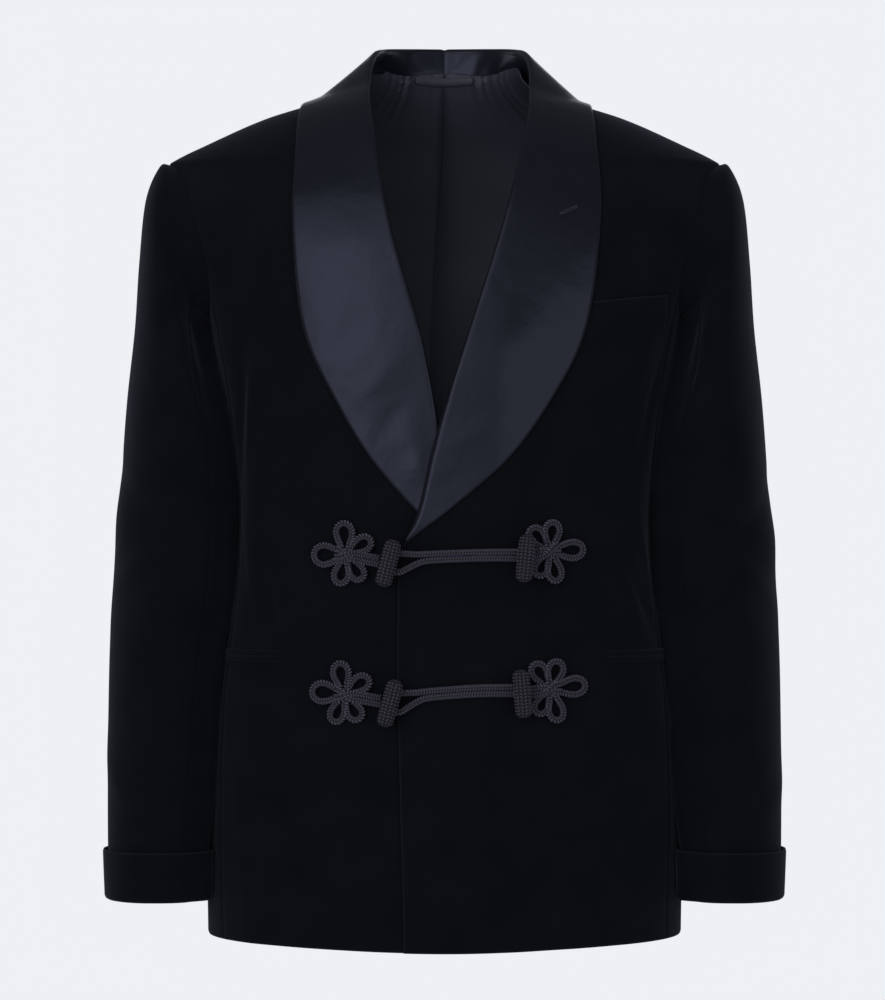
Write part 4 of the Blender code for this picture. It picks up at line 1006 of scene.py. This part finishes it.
def stand_points(side, step):
    """Collar stand half, from the neckline up to the inside of the collar's roll."""
    s = stops(STAND_LONG, step)
    collar_s, collar = collar_grid(side, step)
    place = s * (STAND_STATIONS - 1) / (len(COLLAR_STATIONS) - 1)
    top = np.stack([np.interp(place, collar_s, collar[:, 0, axis]) for axis in range(3)], -1)
    angle = mix(180.0, STAND_END, s)
    bottom = form_point(side, angle, mix(NAPE_Z, NECK_POINT_Z, ease((180 - angle) / 90)) - STAND_LAP)
    inward = unit(top * (-1, -1, 0))
    share = stops(STAND_TALL, step)[:, None, None]
    crumple = np.zeros((share.shape[0], len(s), 1))
    for crumple_s, height, half_wide, lean, rise in rows_of(STAND_CRUMPLES, side):
        off = s[None, :, None] - crumple_s - lean * (share - height)
        crumple = crumple + rise * bell(off / half_wide, (share - height) / CRUMPLE_TALL)
    return outward(side, bottom + (top - bottom) * share + inward * (SATIN * (1 - share) + crumple))


def strip_points(side, angles, z, out):
    angle, z = np.broadcast_arrays(np.asarray(angles)[None, :], np.asarray(z)[:, None])
    return outward(side, moved_out(side, angle, z, np.broadcast_to(out, z.shape)))


def jet_points(side, low, step):
    """Jet of a hip pocket: a narrow strip folded to a low round ridge."""
    across = np.linspace(0, 1, JET_ROWS)
    ridge = JET_LOW + JET_RISE * np.sin(math.pi * across)[:, None] ** JET_ROUND
    return strip_points(side, mix(JET_FROM, JET_TO, stops(JET_LONG, step)), low + JET_TALL * across, ridge)


def welt_points(step):
    """Breast welt on the left front, slanting down to the lapel."""
    share, rise = np.broadcast_arrays(stops(WELT_LONG, step)[None, :], stops(WELT_TALL, step)[:, None])
    x = mix(WELT_INNER_X, WELT_OUTER_X, share)
    z = WELT_TOP_Z - WELT_DROP * (1 - share) - WELT_TALL * (1 - rise)
    # Sewn flat along its bottom and where it goes under the lapel, and standing off at its top and outer end
    out = mix(WELT_LOW, LAYER + WELT_WALL, ease(WELT_STEEP_UP * rise) * ease(WELT_STEEP_OUT * share))
    return moved_out(1, front_angle(x, z), z, out)


def hanger_points():
    """Hanger loop across the nape, sewn down at both ends and bowed off the lining between them."""
    share, rise = np.broadcast_arrays(np.linspace(-1, 1, HANGER_COLUMNS)[None, :],
                                      np.linspace(0, 1, HANGER_ROWS)[:, None])
    slack = 1 - share * share
    bow = HANGER_BOW * slack ** 0.5
    z = HANGER_Z + HANGER_TALL * rise - HANGER_SAG * slack
    return moved_out(1, 180 - HANGER_HALF_TURN * share, z, -(VELVET + LINING + 2 * LAYER + HANGER_WALL) - bow)


def plait(turn, along, columns, pitch, slant, gap=0.0, round_rib=4):
    """How far thread stands up on a plaited surface: columns of slanting stitches, each leaning the other way.

    The gap between stitches goes down to the given share; a lower power of the rib widens the grooves beside columns.
    """
    column = turn * columns / (2 * math.pi)
    inside = 2 * (column % 1.0) - 1
    lean = np.where(column.astype(int) % 2, slant, -slant)
    stitch = along[:, None] / pitch + (lean * inside)[None, :]
    wave = (0.5 + 0.5 * np.cos(2 * math.pi * stitch)) ** STITCH_ROUND
    return mix(gap, 1.0, wave) * (1 - np.abs(inside) ** round_rib)[None, :]


def cord_rings(places, facing, radius=CORD_RADIUS, relief=BRAID_RELIEF, pitch=BRAID_PITCH):
    """Rings of a plaited cord along places in mm, and its raised thread; facing is the way out of the cloth."""
    path = smooth_path(places, np.linspace(0, 1, CORD_SAMPLES))
    run = np.insert(np.linalg.norm(np.diff(path, axis=0), axis=1).cumsum(), 0, 0.0)
    along = np.linspace(0, run[-1], int(run[-1] / CORD_STEP) + 1)
    path = np.stack([np.interp(along, run, path[:, axis]) for axis in range(3)], -1)
    ahead = unit(np.gradient(path, axis=0))
    raised = unit(facing - ahead * (ahead * facing).sum(-1, keepdims=True))
    across = np.cross(ahead, raised)
    turn = 2 * math.pi * np.arange(CORD_SIDES) / CORD_SIDES
    thread = plait(turn, along, BRAID_COLUMNS, pitch, BRAID_SLANT)
    reach = raised[:, None] * np.cos(turn)[None, :, None] + across[:, None] * np.sin(turn)[None, :, None]
    return path[:, None] + reach * (radius + relief * (thread - BRAID_LEVEL))[..., None], thread


def ringed(name, tubes, material):
    """Piece made of closed tubes, each a stack of rings with a point over either end."""
    points, lifts, faces, start = [], [], [], 0
    for rings, lift in tubes:
        rows, sides = rings.shape[:2]
        ends = (rings[0].mean(0), rings[-1].mean(0))
        points.append(np.concatenate((rings.reshape(-1, 3), ends)))
        lifts.append(np.append(lift.ravel(), (0.5, 0.5)))
        here = start + np.arange(rows * sides).reshape(rows, sides)
        after = np.roll(here, -1, axis=1)
        faces += np.stack((here[:-1], after[:-1], after[1:], here[1:]), -1).reshape(-1, 4).tolist()
        first, last = start + rows * sides, start + rows * sides + 1
        faces += [(first, after[0, k], here[0, k]) for k in range(sides)]
        faces += [(last, here[-1, k], after[-1, k]) for k in range(sides)]
        start += rows * sides + 2
    mesh = bpy.data.meshes.new(name)
    mesh.from_pydata(np.concatenate(points) * MM, [], [tuple(map(int, face)) for face in faces])
    mesh.materials.append(material)
    # Height of the thread, which the cord's material turns into painted shade in the grooves and painted highlight on
    # top
    raised = mesh.attributes.new("raised_thread", "FLOAT", "POINT")
    raised.data.foreach_set("value", np.concatenate(lifts).astype(np.float32))
    piece = bpy.data.objects.new(name, mesh)
    bpy.context.collection.objects.link(piece)
    bpy.ops.object.select_all(action="DESELECT")
    piece.select_set(True)
    bpy.context.view_layer.objects.active = piece
    bpy.ops.object.mode_set(mode="EDIT")
    bpy.ops.mesh.select_all(action="SELECT")
    bpy.ops.mesh.normals_make_consistent(inside=False)
    bpy.ops.object.mode_set(mode="OBJECT")
    bpy.ops.object.shade_smooth()
    return piece


def on_panel(side, flat, out):
    """Points over a front panel from x, z in the photograph's upright plane."""
    return on_front(side, side * flat[:, 0], flat[:, 1], out)


def rosette_tubes(name, side, x, z, toggle_x, toggle_z, room):
    """Petals of looped cord round a middle where the two cords of the shank cross over them."""
    centre, toggle = np.array((x, z)), np.array((toggle_x, toggle_z))
    facing = form_normal(side, front_angle(side * x, np.float64(z)), np.float64(z))
    tubes = []
    for number, (direction, length, half_width) in enumerate(PETALS[name]):
        heading = math.radians(direction)
        along = np.array((math.cos(heading), math.sin(heading)))
        across = np.array((-math.sin(heading), math.cos(heading)))
        tip = length - CORD_RADIUS
        rise = [PETAL_START, (PETAL_ROOT, PETAL_ROOT_SHARE * half_width)]
        rise += [(tip * a, half_width * b) for a, b in PETAL_SHAPE]
        flat = np.array(rise + [(tip, 0.0)] + [(a, -b) for a, b in reversed(rise)])
        lift = np.where(np.abs(flat[:, 0]) < PETAL_LIFT_REACH, PETAL_LIFT * (number % 2), 0.0)
        places = centre + along * flat[:, :1] - across * flat[:, 1:]
        tubes.append(cord_rings(on_panel(side, places, room + CORD_RADIUS + lift), facing))
    towards = (toggle - centre) / np.linalg.norm(toggle - centre)
    aside = np.array((-towards[1], towards[0]))
    reach = np.linalg.norm(toggle - centre) - (SHANK_SHORT if side < 0 else LOOP_SHORT)
    for sign in (1, -1):
        route = [(place, off, lift + part * sign) for place, off, lift, part in SHANK_ROUTE]
        route += [(mix(route[-1][0], reach, 0.5), SHANK_SPREAD, SHANK_LIFT), (reach, SHANK_SPREAD, 0.0)]
        route = np.array([row for row in route if row[0] < reach - SHANK_ROOM or row[0] == reach])
        places = centre + towards * route[:, :1] + aside * sign * route[:, 1:2]
        tubes.append(cord_rings(on_panel(side, places, room + CORD_RADIUS + route[:, 2]), facing))
    return tubes


def loop_tube(name, z_left, z_right, toggle_left_x, toggle_right_x):
    """Loop of a frog: two cords side by side, opening round the shank of the right toggle."""
    nose_x = toggle_right_x - LOOP_NOSE
    start, turn_x = (toggle_left_x - LOOP_SHORT, CORD_RADIUS, -CORD_RADIUS, 0.0), nose_x + LOOP_NOSE_ROUND[0]
    rows = [start] + LOOP_ROUTE + [(turn_x, LOOP_NOSE_ROUND[1], -LOOP_NOSE_ROUND[1] - LOOP_NOSE_SAG, 1.0)]
    upper = [(x, high, share) for x, high, _, share in rows]
    lower = [(x, low, share) for x, _, low, share in reversed(rows)]
    x, rise, share = np.array(upper + [(nose_x, LOOP_NOSE_Z, 1.0)] + lower).T
    z = mix(z_left, z_right, share) + rise
    out = LOOP_ROOM[name] + CORD_RADIUS
    over, under = on_front(1, x, z, out), on_front(-1, -x, z, out)
    places = over + (under - over) * ease((LOOP_DROP_X - x) / LOOP_DROP)[:, None]
    return cord_rings(places, np.array((0.0, -1.0, 0.0)))


def buttonhole_tube():
    """Ring of stitched thread round the buttonhole's slit, lying on the satin of the left lapel."""
    turn = 2 * math.pi * np.arange(BUTTONHOLE_POINTS + 1) / BUTTONHOLE_POINTS
    along, across = BUTTONHOLE_LONG * np.cos(turn), BUTTONHOLE_WIDE * np.sin(turn)
    sine, cosine = math.sin(math.radians(BUTTONHOLE_LEAN)), math.cos(math.radians(BUTTONHOLE_LEAN))
    x = BUTTONHOLE_X + along * cosine - across * sine
    z = BUTTONHOLE_Z + along * sine + across * cosine
    places = on_front(1, x, z, COLLAR_LAYER + SATIN + BUTTONHOLE_THREAD / 2)
    return cord_rings(places, np.array((0.0, -1.0, 0.0)), BUTTONHOLE_THREAD, BUTTONHOLE_RELIEF, BUTTONHOLE_PITCH)


def toggle_tube(side, x, z, lean, out):
    """Knitted barrel: ribs along its axis, each a column of slanting stitches."""
    x, z = np.float64(x), np.float64(z)
    middle, facing = on_front(side, side * x, z, out), form_normal(side, front_angle(side * x, z), z)
    axis = np.array((math.sin(math.radians(lean)), 0, math.cos(math.radians(lean))))
    axis = unit(axis - facing * (axis * facing).sum())
    across = np.cross(axis, facing)
    places, shares = np.array(BARREL).T
    caps = np.linspace(-1, -TOGGLE_CAP, TOGGLE_CAP_ROWS)[:-1], np.linspace(TOGGLE_CAP, 1, TOGGLE_CAP_ROWS)[1:]
    place = np.concatenate((caps[0], np.linspace(-TOGGLE_CAP, TOGGLE_CAP, TOGGLE_ROWS), caps[1]))
    share = Table(list(zip(places, shares))).at(place)[0]
    sides = KNIT_COLUMNS * KNIT_COLUMN_SIDES
    turn = 2 * math.pi * np.arange(sides) / sides
    thread = plait(turn, place * TOGGLE_HALF, KNIT_COLUMNS, KNIT_PITCH, KNIT_SLANT, KNIT_GAP, KNIT_RIB)
    # The knit grows flatter towards the drawn-in ends
    relief = KNIT_RELIEF * (thread - KNIT_LEVEL) * np.clip(share * KNIT_FADE - KNIT_FADE_FROM, 0, 1)[:, None]
    radius = TOGGLE_RADIUS * share[:, None] + relief
    reach = facing * np.cos(turn)[None, :, None] + across * np.sin(turn)[None, :, None]
    # The stitches' height, scaled, sets the painted highlight and painted shade of the knit
    return middle + axis * (place * TOGGLE_HALF)[:, None, None] + reach * radius[..., None], KNIT_SHADE * thread


def fill(tree, node, sockets):
    """Gives a node its socket values and the links that come into it."""
    for name, value in sockets.items():
        if isinstance(value, bpy.types.NodeSocket):
            tree.links.new(value, node.inputs[name])
        else:
            node.inputs[name].default_value = value
    return node


def add(tree, kind, sockets=None, **settings):
    """New node with its settings, its socket values and the links that come into it."""
    node = tree.nodes.new(kind)
    for name, value in settings.items():
        setattr(node, name, value)
    return fill(tree, node, sockets or {})


def noise(tree, place, scale, detail, **sockets):
    node = add(tree, "ShaderNodeTexNoise", {"Vector": place, "Scale": scale, "Detail": detail, **sockets})
    return node.outputs["Fac"]


def bump(tree, height, strength, distance, **sockets):
    node = add(tree, "ShaderNodeBump", {"Height": height, "Strength": strength, "Distance": distance, **sockets})
    return node.outputs["Normal"]


def ramp(tree, value, start, start_colour, end, end_colour):
    shade = add(tree, "ShaderNodeValToRGB", {"Fac": value})
    first, last = shade.color_ramp.elements
    first.position, last.position = start, end
    first.color, last.color = (*start_colour, 1.0), (*end_colour, 1.0)
    return shade.outputs["Color"]


def new_material(name):
    """Empty material with its node tree and principled shader, or the one of that name made before."""
    made = bpy.data.materials.get(name)
    if made:
        return made, None, None
    made = bpy.data.materials.new(name)
    made.use_nodes = True
    return made, made.node_tree, made.node_tree.nodes["Principled BSDF"]


def velvet_material():
    """Cotton velvet: short upright pile, so it is nearly black face-on and glows softly where it turns away."""
    made, tree, shader = new_material("cotton_velvet")
    if tree is None:
        return made
    colours = bpy.context.scene.jacket_colours
    place = add(tree, "ShaderNodeTexCoord").outputs["Object"]
    lay = noise(tree, place, 26.0, 5.0, Roughness=0.6)
    shade = ramp(tree, lay, 0.32, colours.velvet, 0.7, colours.velvet_lit)
    # Pile tips are 0.3 mm apart; drawn 1.2 mm apart, so that they show
    rise = bump(tree, noise(tree, place, 850.0, 2.0, Roughness=0.7), 0.5, 0.0006)
    # Along a free fold a fine lighter line is painted: a painted highlight where the fold's edge catches the light
    highlit = add(tree, "ShaderNodeAttribute", attribute_name="fold_highlight").outputs["Fac"]
    fold = (*colours.velvet_fold_highlight, 1.0)
    highlighted = add(tree, "ShaderNodeMixRGB", {"Fac": highlit, "Color1": shade, "Color2": fold})
    fill(tree, shader, {
        "Base Color": highlighted.outputs["Color"], "Normal": rise, "Roughness": 0.92, "Specular IOR Level": 0.12,
        "Sheen Weight": 0.18, "Sheen Roughness": 0.42, "Sheen Tint": (*colours.velvet_sheen, 1.0)})
    return made


def satin_material():
    """Silk satin: long floats of smooth thread, so it is dark with broad soft highlights."""
    made, tree, shader = new_material("silk_satin")
    if tree is None:
        return made
    colours = bpy.context.scene.jacket_colours
    place = add(tree, "ShaderNodeTexCoord").outputs["Object"]
    # Threads are 0.15 mm apart; drawn as streaks about 0.8 mm apart
    stretch = add(tree, "ShaderNodeMapping", {"Vector": place, "Scale": (1.0, 1.0, 0.22)})
    thread = noise(tree, stretch.outputs["Vector"], 1200.0, 2.0)
    soft = bump(tree, noise(tree, place, 38.0, 3.0), 0.4, 0.002)
    fill(tree, shader, {
        "Base Color": (*colours.satin, 1.0), "Normal": bump(tree, thread, 0.18, 0.0003, Normal=soft),
        "Roughness": 0.28, "Specular IOR Level": 0.5, "Specular Tint": (*colours.satin_shine, 1.0)})
    return made


def lining_material():
    """Twill lining: fine slanting ribs with a faint shine."""
    made, tree, shader = new_material("twill_lining")
    if tree is None:
        return made
    place = add(tree, "ShaderNodeUVMap").outputs["UV"]
    # Ribs are 0.6 mm apart; drawn 4 mm apart, so that they show
    rib = add(tree, "ShaderNodeTexWave", {"Vector": place, "Scale": 110.0, "Distortion": 0.6},
              bands_direction="DIAGONAL").outputs["Fac"]
    fill(tree, shader, {
        "Base Color": (*bpy.context.scene.jacket_colours.lining, 1.0), "Normal": bump(tree, rib, 0.25, 0.0003),
        "Roughness": 0.5})
    return made


def braid_material():
    """Plaited rayon cord: dark threads with painted highlight on their raised turns and painted shade in the grooves.
    """
    made, tree, shader = new_material("braided_cord")
    if tree is None:
        return made
    colours = bpy.context.scene.jacket_colours
    place = add(tree, "ShaderNodeTexCoord").outputs["Object"]
    thread = add(tree, "ShaderNodeAttribute", attribute_name="raised_thread").outputs["Fac"]
    fill(tree, shader, {
        # Painted shade where the thread lies low and painted highlight where it is raised
        "Base Color": ramp(tree, thread, 0.42, colours.braid, 0.92, colours.braid_highlight),
        "Normal": bump(tree, noise(tree, place, 900.0, 3.0), 0.35, 0.0003),
        "Roughness": 0.55, "Sheen Weight": 0.08})
    return made


class JacketSizes(bpy.types.PropertyGroup):
    """Sizes that a user would change."""
    cloth_step: bpy.props.FloatProperty(
        name="Cloth step", description="Spacing of the points of velvet and lining", default=0.004, min=0.002,
        max=0.02, unit="LENGTH")
    satin_step: bpy.props.FloatProperty(
        name="Satin step", description="Spacing of the points of satin and small pieces", default=0.003, min=0.0015,
        max=0.02, unit="LENGTH")
    crease_depth: bpy.props.FloatProperty(
        name="Crease depth", description="Depth of the finer creases of body and sleeves", default=1.35, min=0.0,
        max=2.0, subtype="FACTOR")


def colour(name, description, hex_colour):
    return bpy.props.FloatVectorProperty(
        name=name, description=description, subtype="COLOR", default=linear(hex_colour))


class JacketColours(bpy.types.PropertyGroup):
    """Colours of the cloths and the cord."""
    velvet: colour("Velvet", "Deep of the pile", "#111216")
    velvet_lit: colour("Velvet, brushed", "Pile where it is brushed up", "#16171d")
    # Colour of the painted highlight along free folds
    velvet_fold_highlight: colour("Velvet, fold highlight", "Painted highlight along a fold", "#26272d")
    velvet_sheen: colour("Velvet sheen", "Glow of the pile's tips", "#c2c8dc")
    satin: colour("Satin", "Collar and its stand", "#1c1d23")
    satin_shine: colour("Satin shine", "Tint of the satin's highlights", "#d8e0ff")
    lining: colour("Lining", "Back lining and hanger loop", "#42434e")
    braid: colour("Cord", "Painted shade in the braid's grooves", "#0f0e14")
    braid_highlight: colour("Cord, highlight", "Painted highlight on the braid's raised threads", "#746e84")


def dress(piece, nodes, cut=None):
    """Attaches a finished piece to the root body and hides the solids it stands for; its flat cut's sizes are looked up
    but not used.
    """
    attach(piece, "root")
    if nodes:
        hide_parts(*nodes)
    if cut:
        width, length, area = CUTS[cut]


# Cloth of each slot: ending of its pieces' names and its material
CLOTHS = {
    "velvet": ("velvet", velvet_material),
    "satin": ("satin", satin_material),
    "lining": ("twill", lining_material),
}


def sew(node, slot, cut, points, wall, edges, closed=False):
    """Sheet of cloth that stands for one solid."""
    ending, material = CLOTHS[slot]
    dress(cloth(f"{node}_{ending}", points, wall, material(), edges, closed), [node], cut)


def steps():
    """Spacing in mm of the points of velvet and lining, and of satin and small pieces."""
    sizes = bpy.context.scene.jacket_sizes
    return sizes.cloth_step / MM, sizes.satin_step / MM


class JACKET_OT_fronts(bpy.types.Operator):
    """Both fronts in velvet, the left one lapped over the right"""
    bl_idname = "jacket.fronts"
    bl_label = "Fronts"

    def execute(self, context):
        for side, edges in ((1, "fafs"), (-1, "affs")):
            sew(f"front_{side_name(side)}", "velvet", "front", front_points(side, steps()[0]), VELVET, edges)
        return {"FINISHED"}


class JACKET_OT_back_and_sides(bpy.types.Operator):
    """Underarm panels and back halves in velvet"""
    bl_idname = "jacket.back_and_sides"
    bl_label = "Back and sides"

    def execute(self, context):
        for side in (1, -1):
            back_edges = "asfu" if side > 0 else "safu"
            for kind, points, edges in (("side", side_points, "uufa"), ("back", back_points, back_edges)):
                sew(f"{kind}_{side_name(side)}", "velvet", kind, points(side, steps()[0]), VELVET, edges)
        return {"FINISHED"}


class JACKET_OT_lining(bpy.types.Operator):
    """Back lining with its tucks, and the hanger loop on it"""
    bl_idname = "jacket.lining"
    bl_label = "Lining and hanger loop"

    def execute(self, context):
        for side in (1, -1):
            name, points = side_name(side), lining_points(side, steps()[0])
            sew(f"lining_{name}", "lining", "lining", points, LINING, "---s")
        loop = cloth("hanger_loop_strip", hanger_points(), HANGER_WALL, lining_material(), "--ff")
        dress(loop, ["hanger_loop"], "hanger")
        return {"FINISHED"}


class JACKET_OT_sleeves(bpy.types.Operator):
    """Top and under sleeves in velvet, with the wrinkles of the elbow"""
    bl_idname = "jacket.sleeves"
    bl_label = "Sleeves"

    def execute(self, context):
        spans = (("sleeve_top", SLEEVE_BACK_SEAM - 360, SLEEVE_FRONT_SEAM, "aa--"),
                 ("sleeve_under", SLEEVE_FRONT_SEAM, SLEEVE_BACK_SEAM, "uu--"))
        for side in (1, -1):
            for kind, start, end, edges in spans:
                points = sleeve_points(side, start, end, steps()[0])
                sew(f"{kind}_{side_name(side)}", "velvet", kind, points, VELVET, edges)
        return {"FINISHED"}


class JACKET_OT_cuffs(bpy.types.Operator):
    """Turned-back cuffs in velvet"""
    bl_idname = "jacket.cuffs"
    bl_label = "Cuffs"

    def execute(self, context):
        for side in (1, -1):
            points = cuff_points(side, steps()[1])
            sew(f"cuff_{side_name(side)}", "velvet", "cuff", points, CUFF_CLOTH, "--f-", closed=True)
        return {"FINISHED"}


class JACKET_OT_collar(bpy.types.Operator):
    """Shawl collar and its stand in satin, and the thread round its buttonhole"""
    bl_idname = "jacket.collar"
    bl_label = "Collar"

    def execute(self, context):
        for side, edges, stand_edges in ((1, "f-s-", "s-s-"), (-1, "-fs-", "-ss-")):
            name, step = side_name(side), steps()[1]
            sew(f"collar_{name}", "satin", "collar", collar_points(side, step), SATIN, edges)
            sew(f"collar_stand_{name}", "satin", "stand", stand_points(side, step), SATIN, stand_edges)
        thread = ringed("lapel_buttonhole_thread", [buttonhole_tube()], braid_material())
        dress(thread, [])
        return {"FINISHED"}


class JACKET_OT_pockets(bpy.types.Operator):
    """Velvet jets of the hip pockets and the welt of the breast pocket"""
    bl_idname = "jacket.pockets"
    bl_label = "Pockets"

    def execute(self, context):
        for side in (1, -1):
            name = side_name(side)
            for place, low in (("upper", JET_Z), ("lower", JET_Z - JET_TALL)):
                points = jet_points(side, low, steps()[1])
                sew(f"hip_jet_{place}_{name}", "velvet", "jet", points, JET_CLOTH, "ss--")
        points = welt_points(steps()[1])
        sew("breast_welt", "velvet", "welt", points, WELT_WALL, "-f-f")
        return {"FINISHED"}


class JACKET_OT_frogs(bpy.types.Operator):
    """Corded rosettes, knitted toggles and the loops that close the fronts"""
    bl_idname = "jacket.frogs"
    bl_label = "Frogs"

    def execute(self, context):
        braid = braid_material()
        for name, side, x, z, toggle_x, toggle_z, lean, room, out in FROGS:
            tubes = rosette_tubes(name, side, x, z, toggle_x, toggle_z, room)
            dress(ringed(f"{name}_cord", tubes, braid), [name])
            barrel = [toggle_tube(side, toggle_x, toggle_z, lean, out)]
            dress(ringed(f"{name}_barrel", barrel, braid), [f"{name}_toggle"])
        for right, left in zip(FROGS[0::2], FROGS[1::2]):
            name = right[0].replace("_right", "_loop")
            tube = loop_tube(name, left[5] + LOOP_RAISE, right[5] + LOOP_RAISE, left[4], right[4])
            dress(ringed(f"{name}_cord", [tube], braid), [name])
        return {"FINISHED"}


class JACKET_OT_stage(bpy.types.Operator):
    """Pale floor, soft studio light and the camera"""
    bl_idname = "jacket.stage"
    bl_label = "Stage"

    def execute(self, context):
        bpy.ops.object.select_all(action="DESELECT")
        bpy.ops.mesh.primitive_plane_add(size=FLOOR_SIZE, location=(0.0, 0.0, FLOOR_Z))
        floor = context.object
        floor.name = floor.data.name = "studio_floor"
        paint = bpy.data.materials.new("pale_floor_paint")
        paint.use_nodes = True
        tree, shader = paint.node_tree, paint.node_tree.nodes["Principled BSDF"]
        shader.inputs["Base Color"].default_value = (*FLOOR_PAINT, 1.0)
        shader.inputs["Roughness"].default_value = 0.9
        shader.inputs["Emission Color"].default_value = (*BACKDROP, 1.0)
        seen = add(tree, "ShaderNodeLightPath").outputs["Is Camera Ray"]
        glow = add(tree, "ShaderNodeMath", {0: seen, 1: FLOOR_GLOW}, operation="MULTIPLY")
        tree.links.new(glow.outputs[0], shader.inputs["Emission Strength"])
        floor.data.materials.append(paint)
        for name, place, aim, width, height, power in LIGHTS:
            data = bpy.data.lights.new(name, "AREA")
            data.shape, data.size, data.size_y, data.energy = "RECTANGLE", width, height, power
            data.color = LIGHT_TINT
            light = bpy.data.objects.new(name, data)
            light.location = place
            way = Vector(aim) - Vector(place)
            light.rotation_euler = way.to_track_quat("-Z", "Y").to_euler()
            light.visible_camera = False
            # The panel overhead only fills the neck and shoulders, so that the satin below them stays dark
            light.visible_glossy = name != "top_panel"
            context.collection.objects.link(light)
        world = bpy.data.worlds.new("studio")
        world.use_nodes = True
        tree = world.node_tree
        tree.nodes.clear()
        seen = add(tree, "ShaderNodeBackground", {"Color": (*BACKDROP, 1.0), "Strength": 1.0})
        lit = add(tree, "ShaderNodeBackground", {"Color": (*AMBIENT, 1.0), "Strength": 1.0})
        ray = add(tree, "ShaderNodeLightPath").outputs["Is Camera Ray"]
        both = add(tree, "ShaderNodeMixShader", {0: ray, 1: lit.outputs[0], 2: seen.outputs[0]})
        add(tree, "ShaderNodeOutputWorld", {"Surface": both.outputs[0]})
        context.scene.world = world
        context.scene.view_settings.view_transform = "Standard"
        lens = bpy.data.cameras.new("photo_camera")
        lens.lens, lens.sensor_width, lens.clip_end = CAMERA_LENS, 36.0, 100.0
        camera = bpy.data.objects.new("photo_camera", lens)
        camera.location, camera.rotation_euler = CAMERA_PLACE, (math.radians(90), 0.0, 0.0)
        context.collection.objects.link(camera)
        context.scene.camera = camera
        return {"FINISHED"}


class JACKET_PT_panel(bpy.types.Panel):
    """Pieces of the jacket, in the order in which they are made"""
    bl_idname = "JACKET_PT_panel"
    bl_label = "Velvet evening jacket"
    bl_space_type = "VIEW_3D"
    bl_region_type = "UI"
    bl_category = "Jacket"

    def draw(self, context):
        for group in (context.scene.jacket_sizes, context.scene.jacket_colours):
            for name in group.__annotations__:
                self.layout.prop(group, name)
        for operator in OPERATORS:
            self.layout.operator(operator.bl_idname)


OPERATORS = (JACKET_OT_fronts, JACKET_OT_back_and_sides, JACKET_OT_lining, JACKET_OT_sleeves, JACKET_OT_cuffs,
             JACKET_OT_collar, JACKET_OT_pockets, JACKET_OT_frogs, JACKET_OT_stage)
CLASSES = (JacketSizes, JacketColours, *OPERATORS, JACKET_PT_panel)


def register():
    for kind in CLASSES:
        bpy.utils.register_class(kind)
    bpy.types.Scene.jacket_sizes = bpy.props.PointerProperty(type=JacketSizes)
    bpy.types.Scene.jacket_colours = bpy.props.PointerProperty(type=JacketColours)


def unregister():
    del bpy.types.Scene.jacket_colours
    del bpy.types.Scene.jacket_sizes
    for kind in reversed(CLASSES):
        bpy.utils.unregister_class(kind)


def main():
    register()
    bpy.ops.jacket.fronts()
    bpy.ops.jacket.back_and_sides()
    bpy.ops.jacket.lining()
    bpy.ops.jacket.sleeves()
    bpy.ops.jacket.cuffs()
    bpy.ops.jacket.collar()
    bpy.ops.jacket.pockets()
    bpy.ops.jacket.frogs()
    bpy.ops.jacket.stage()


if __name__ == "__main__":
    main()
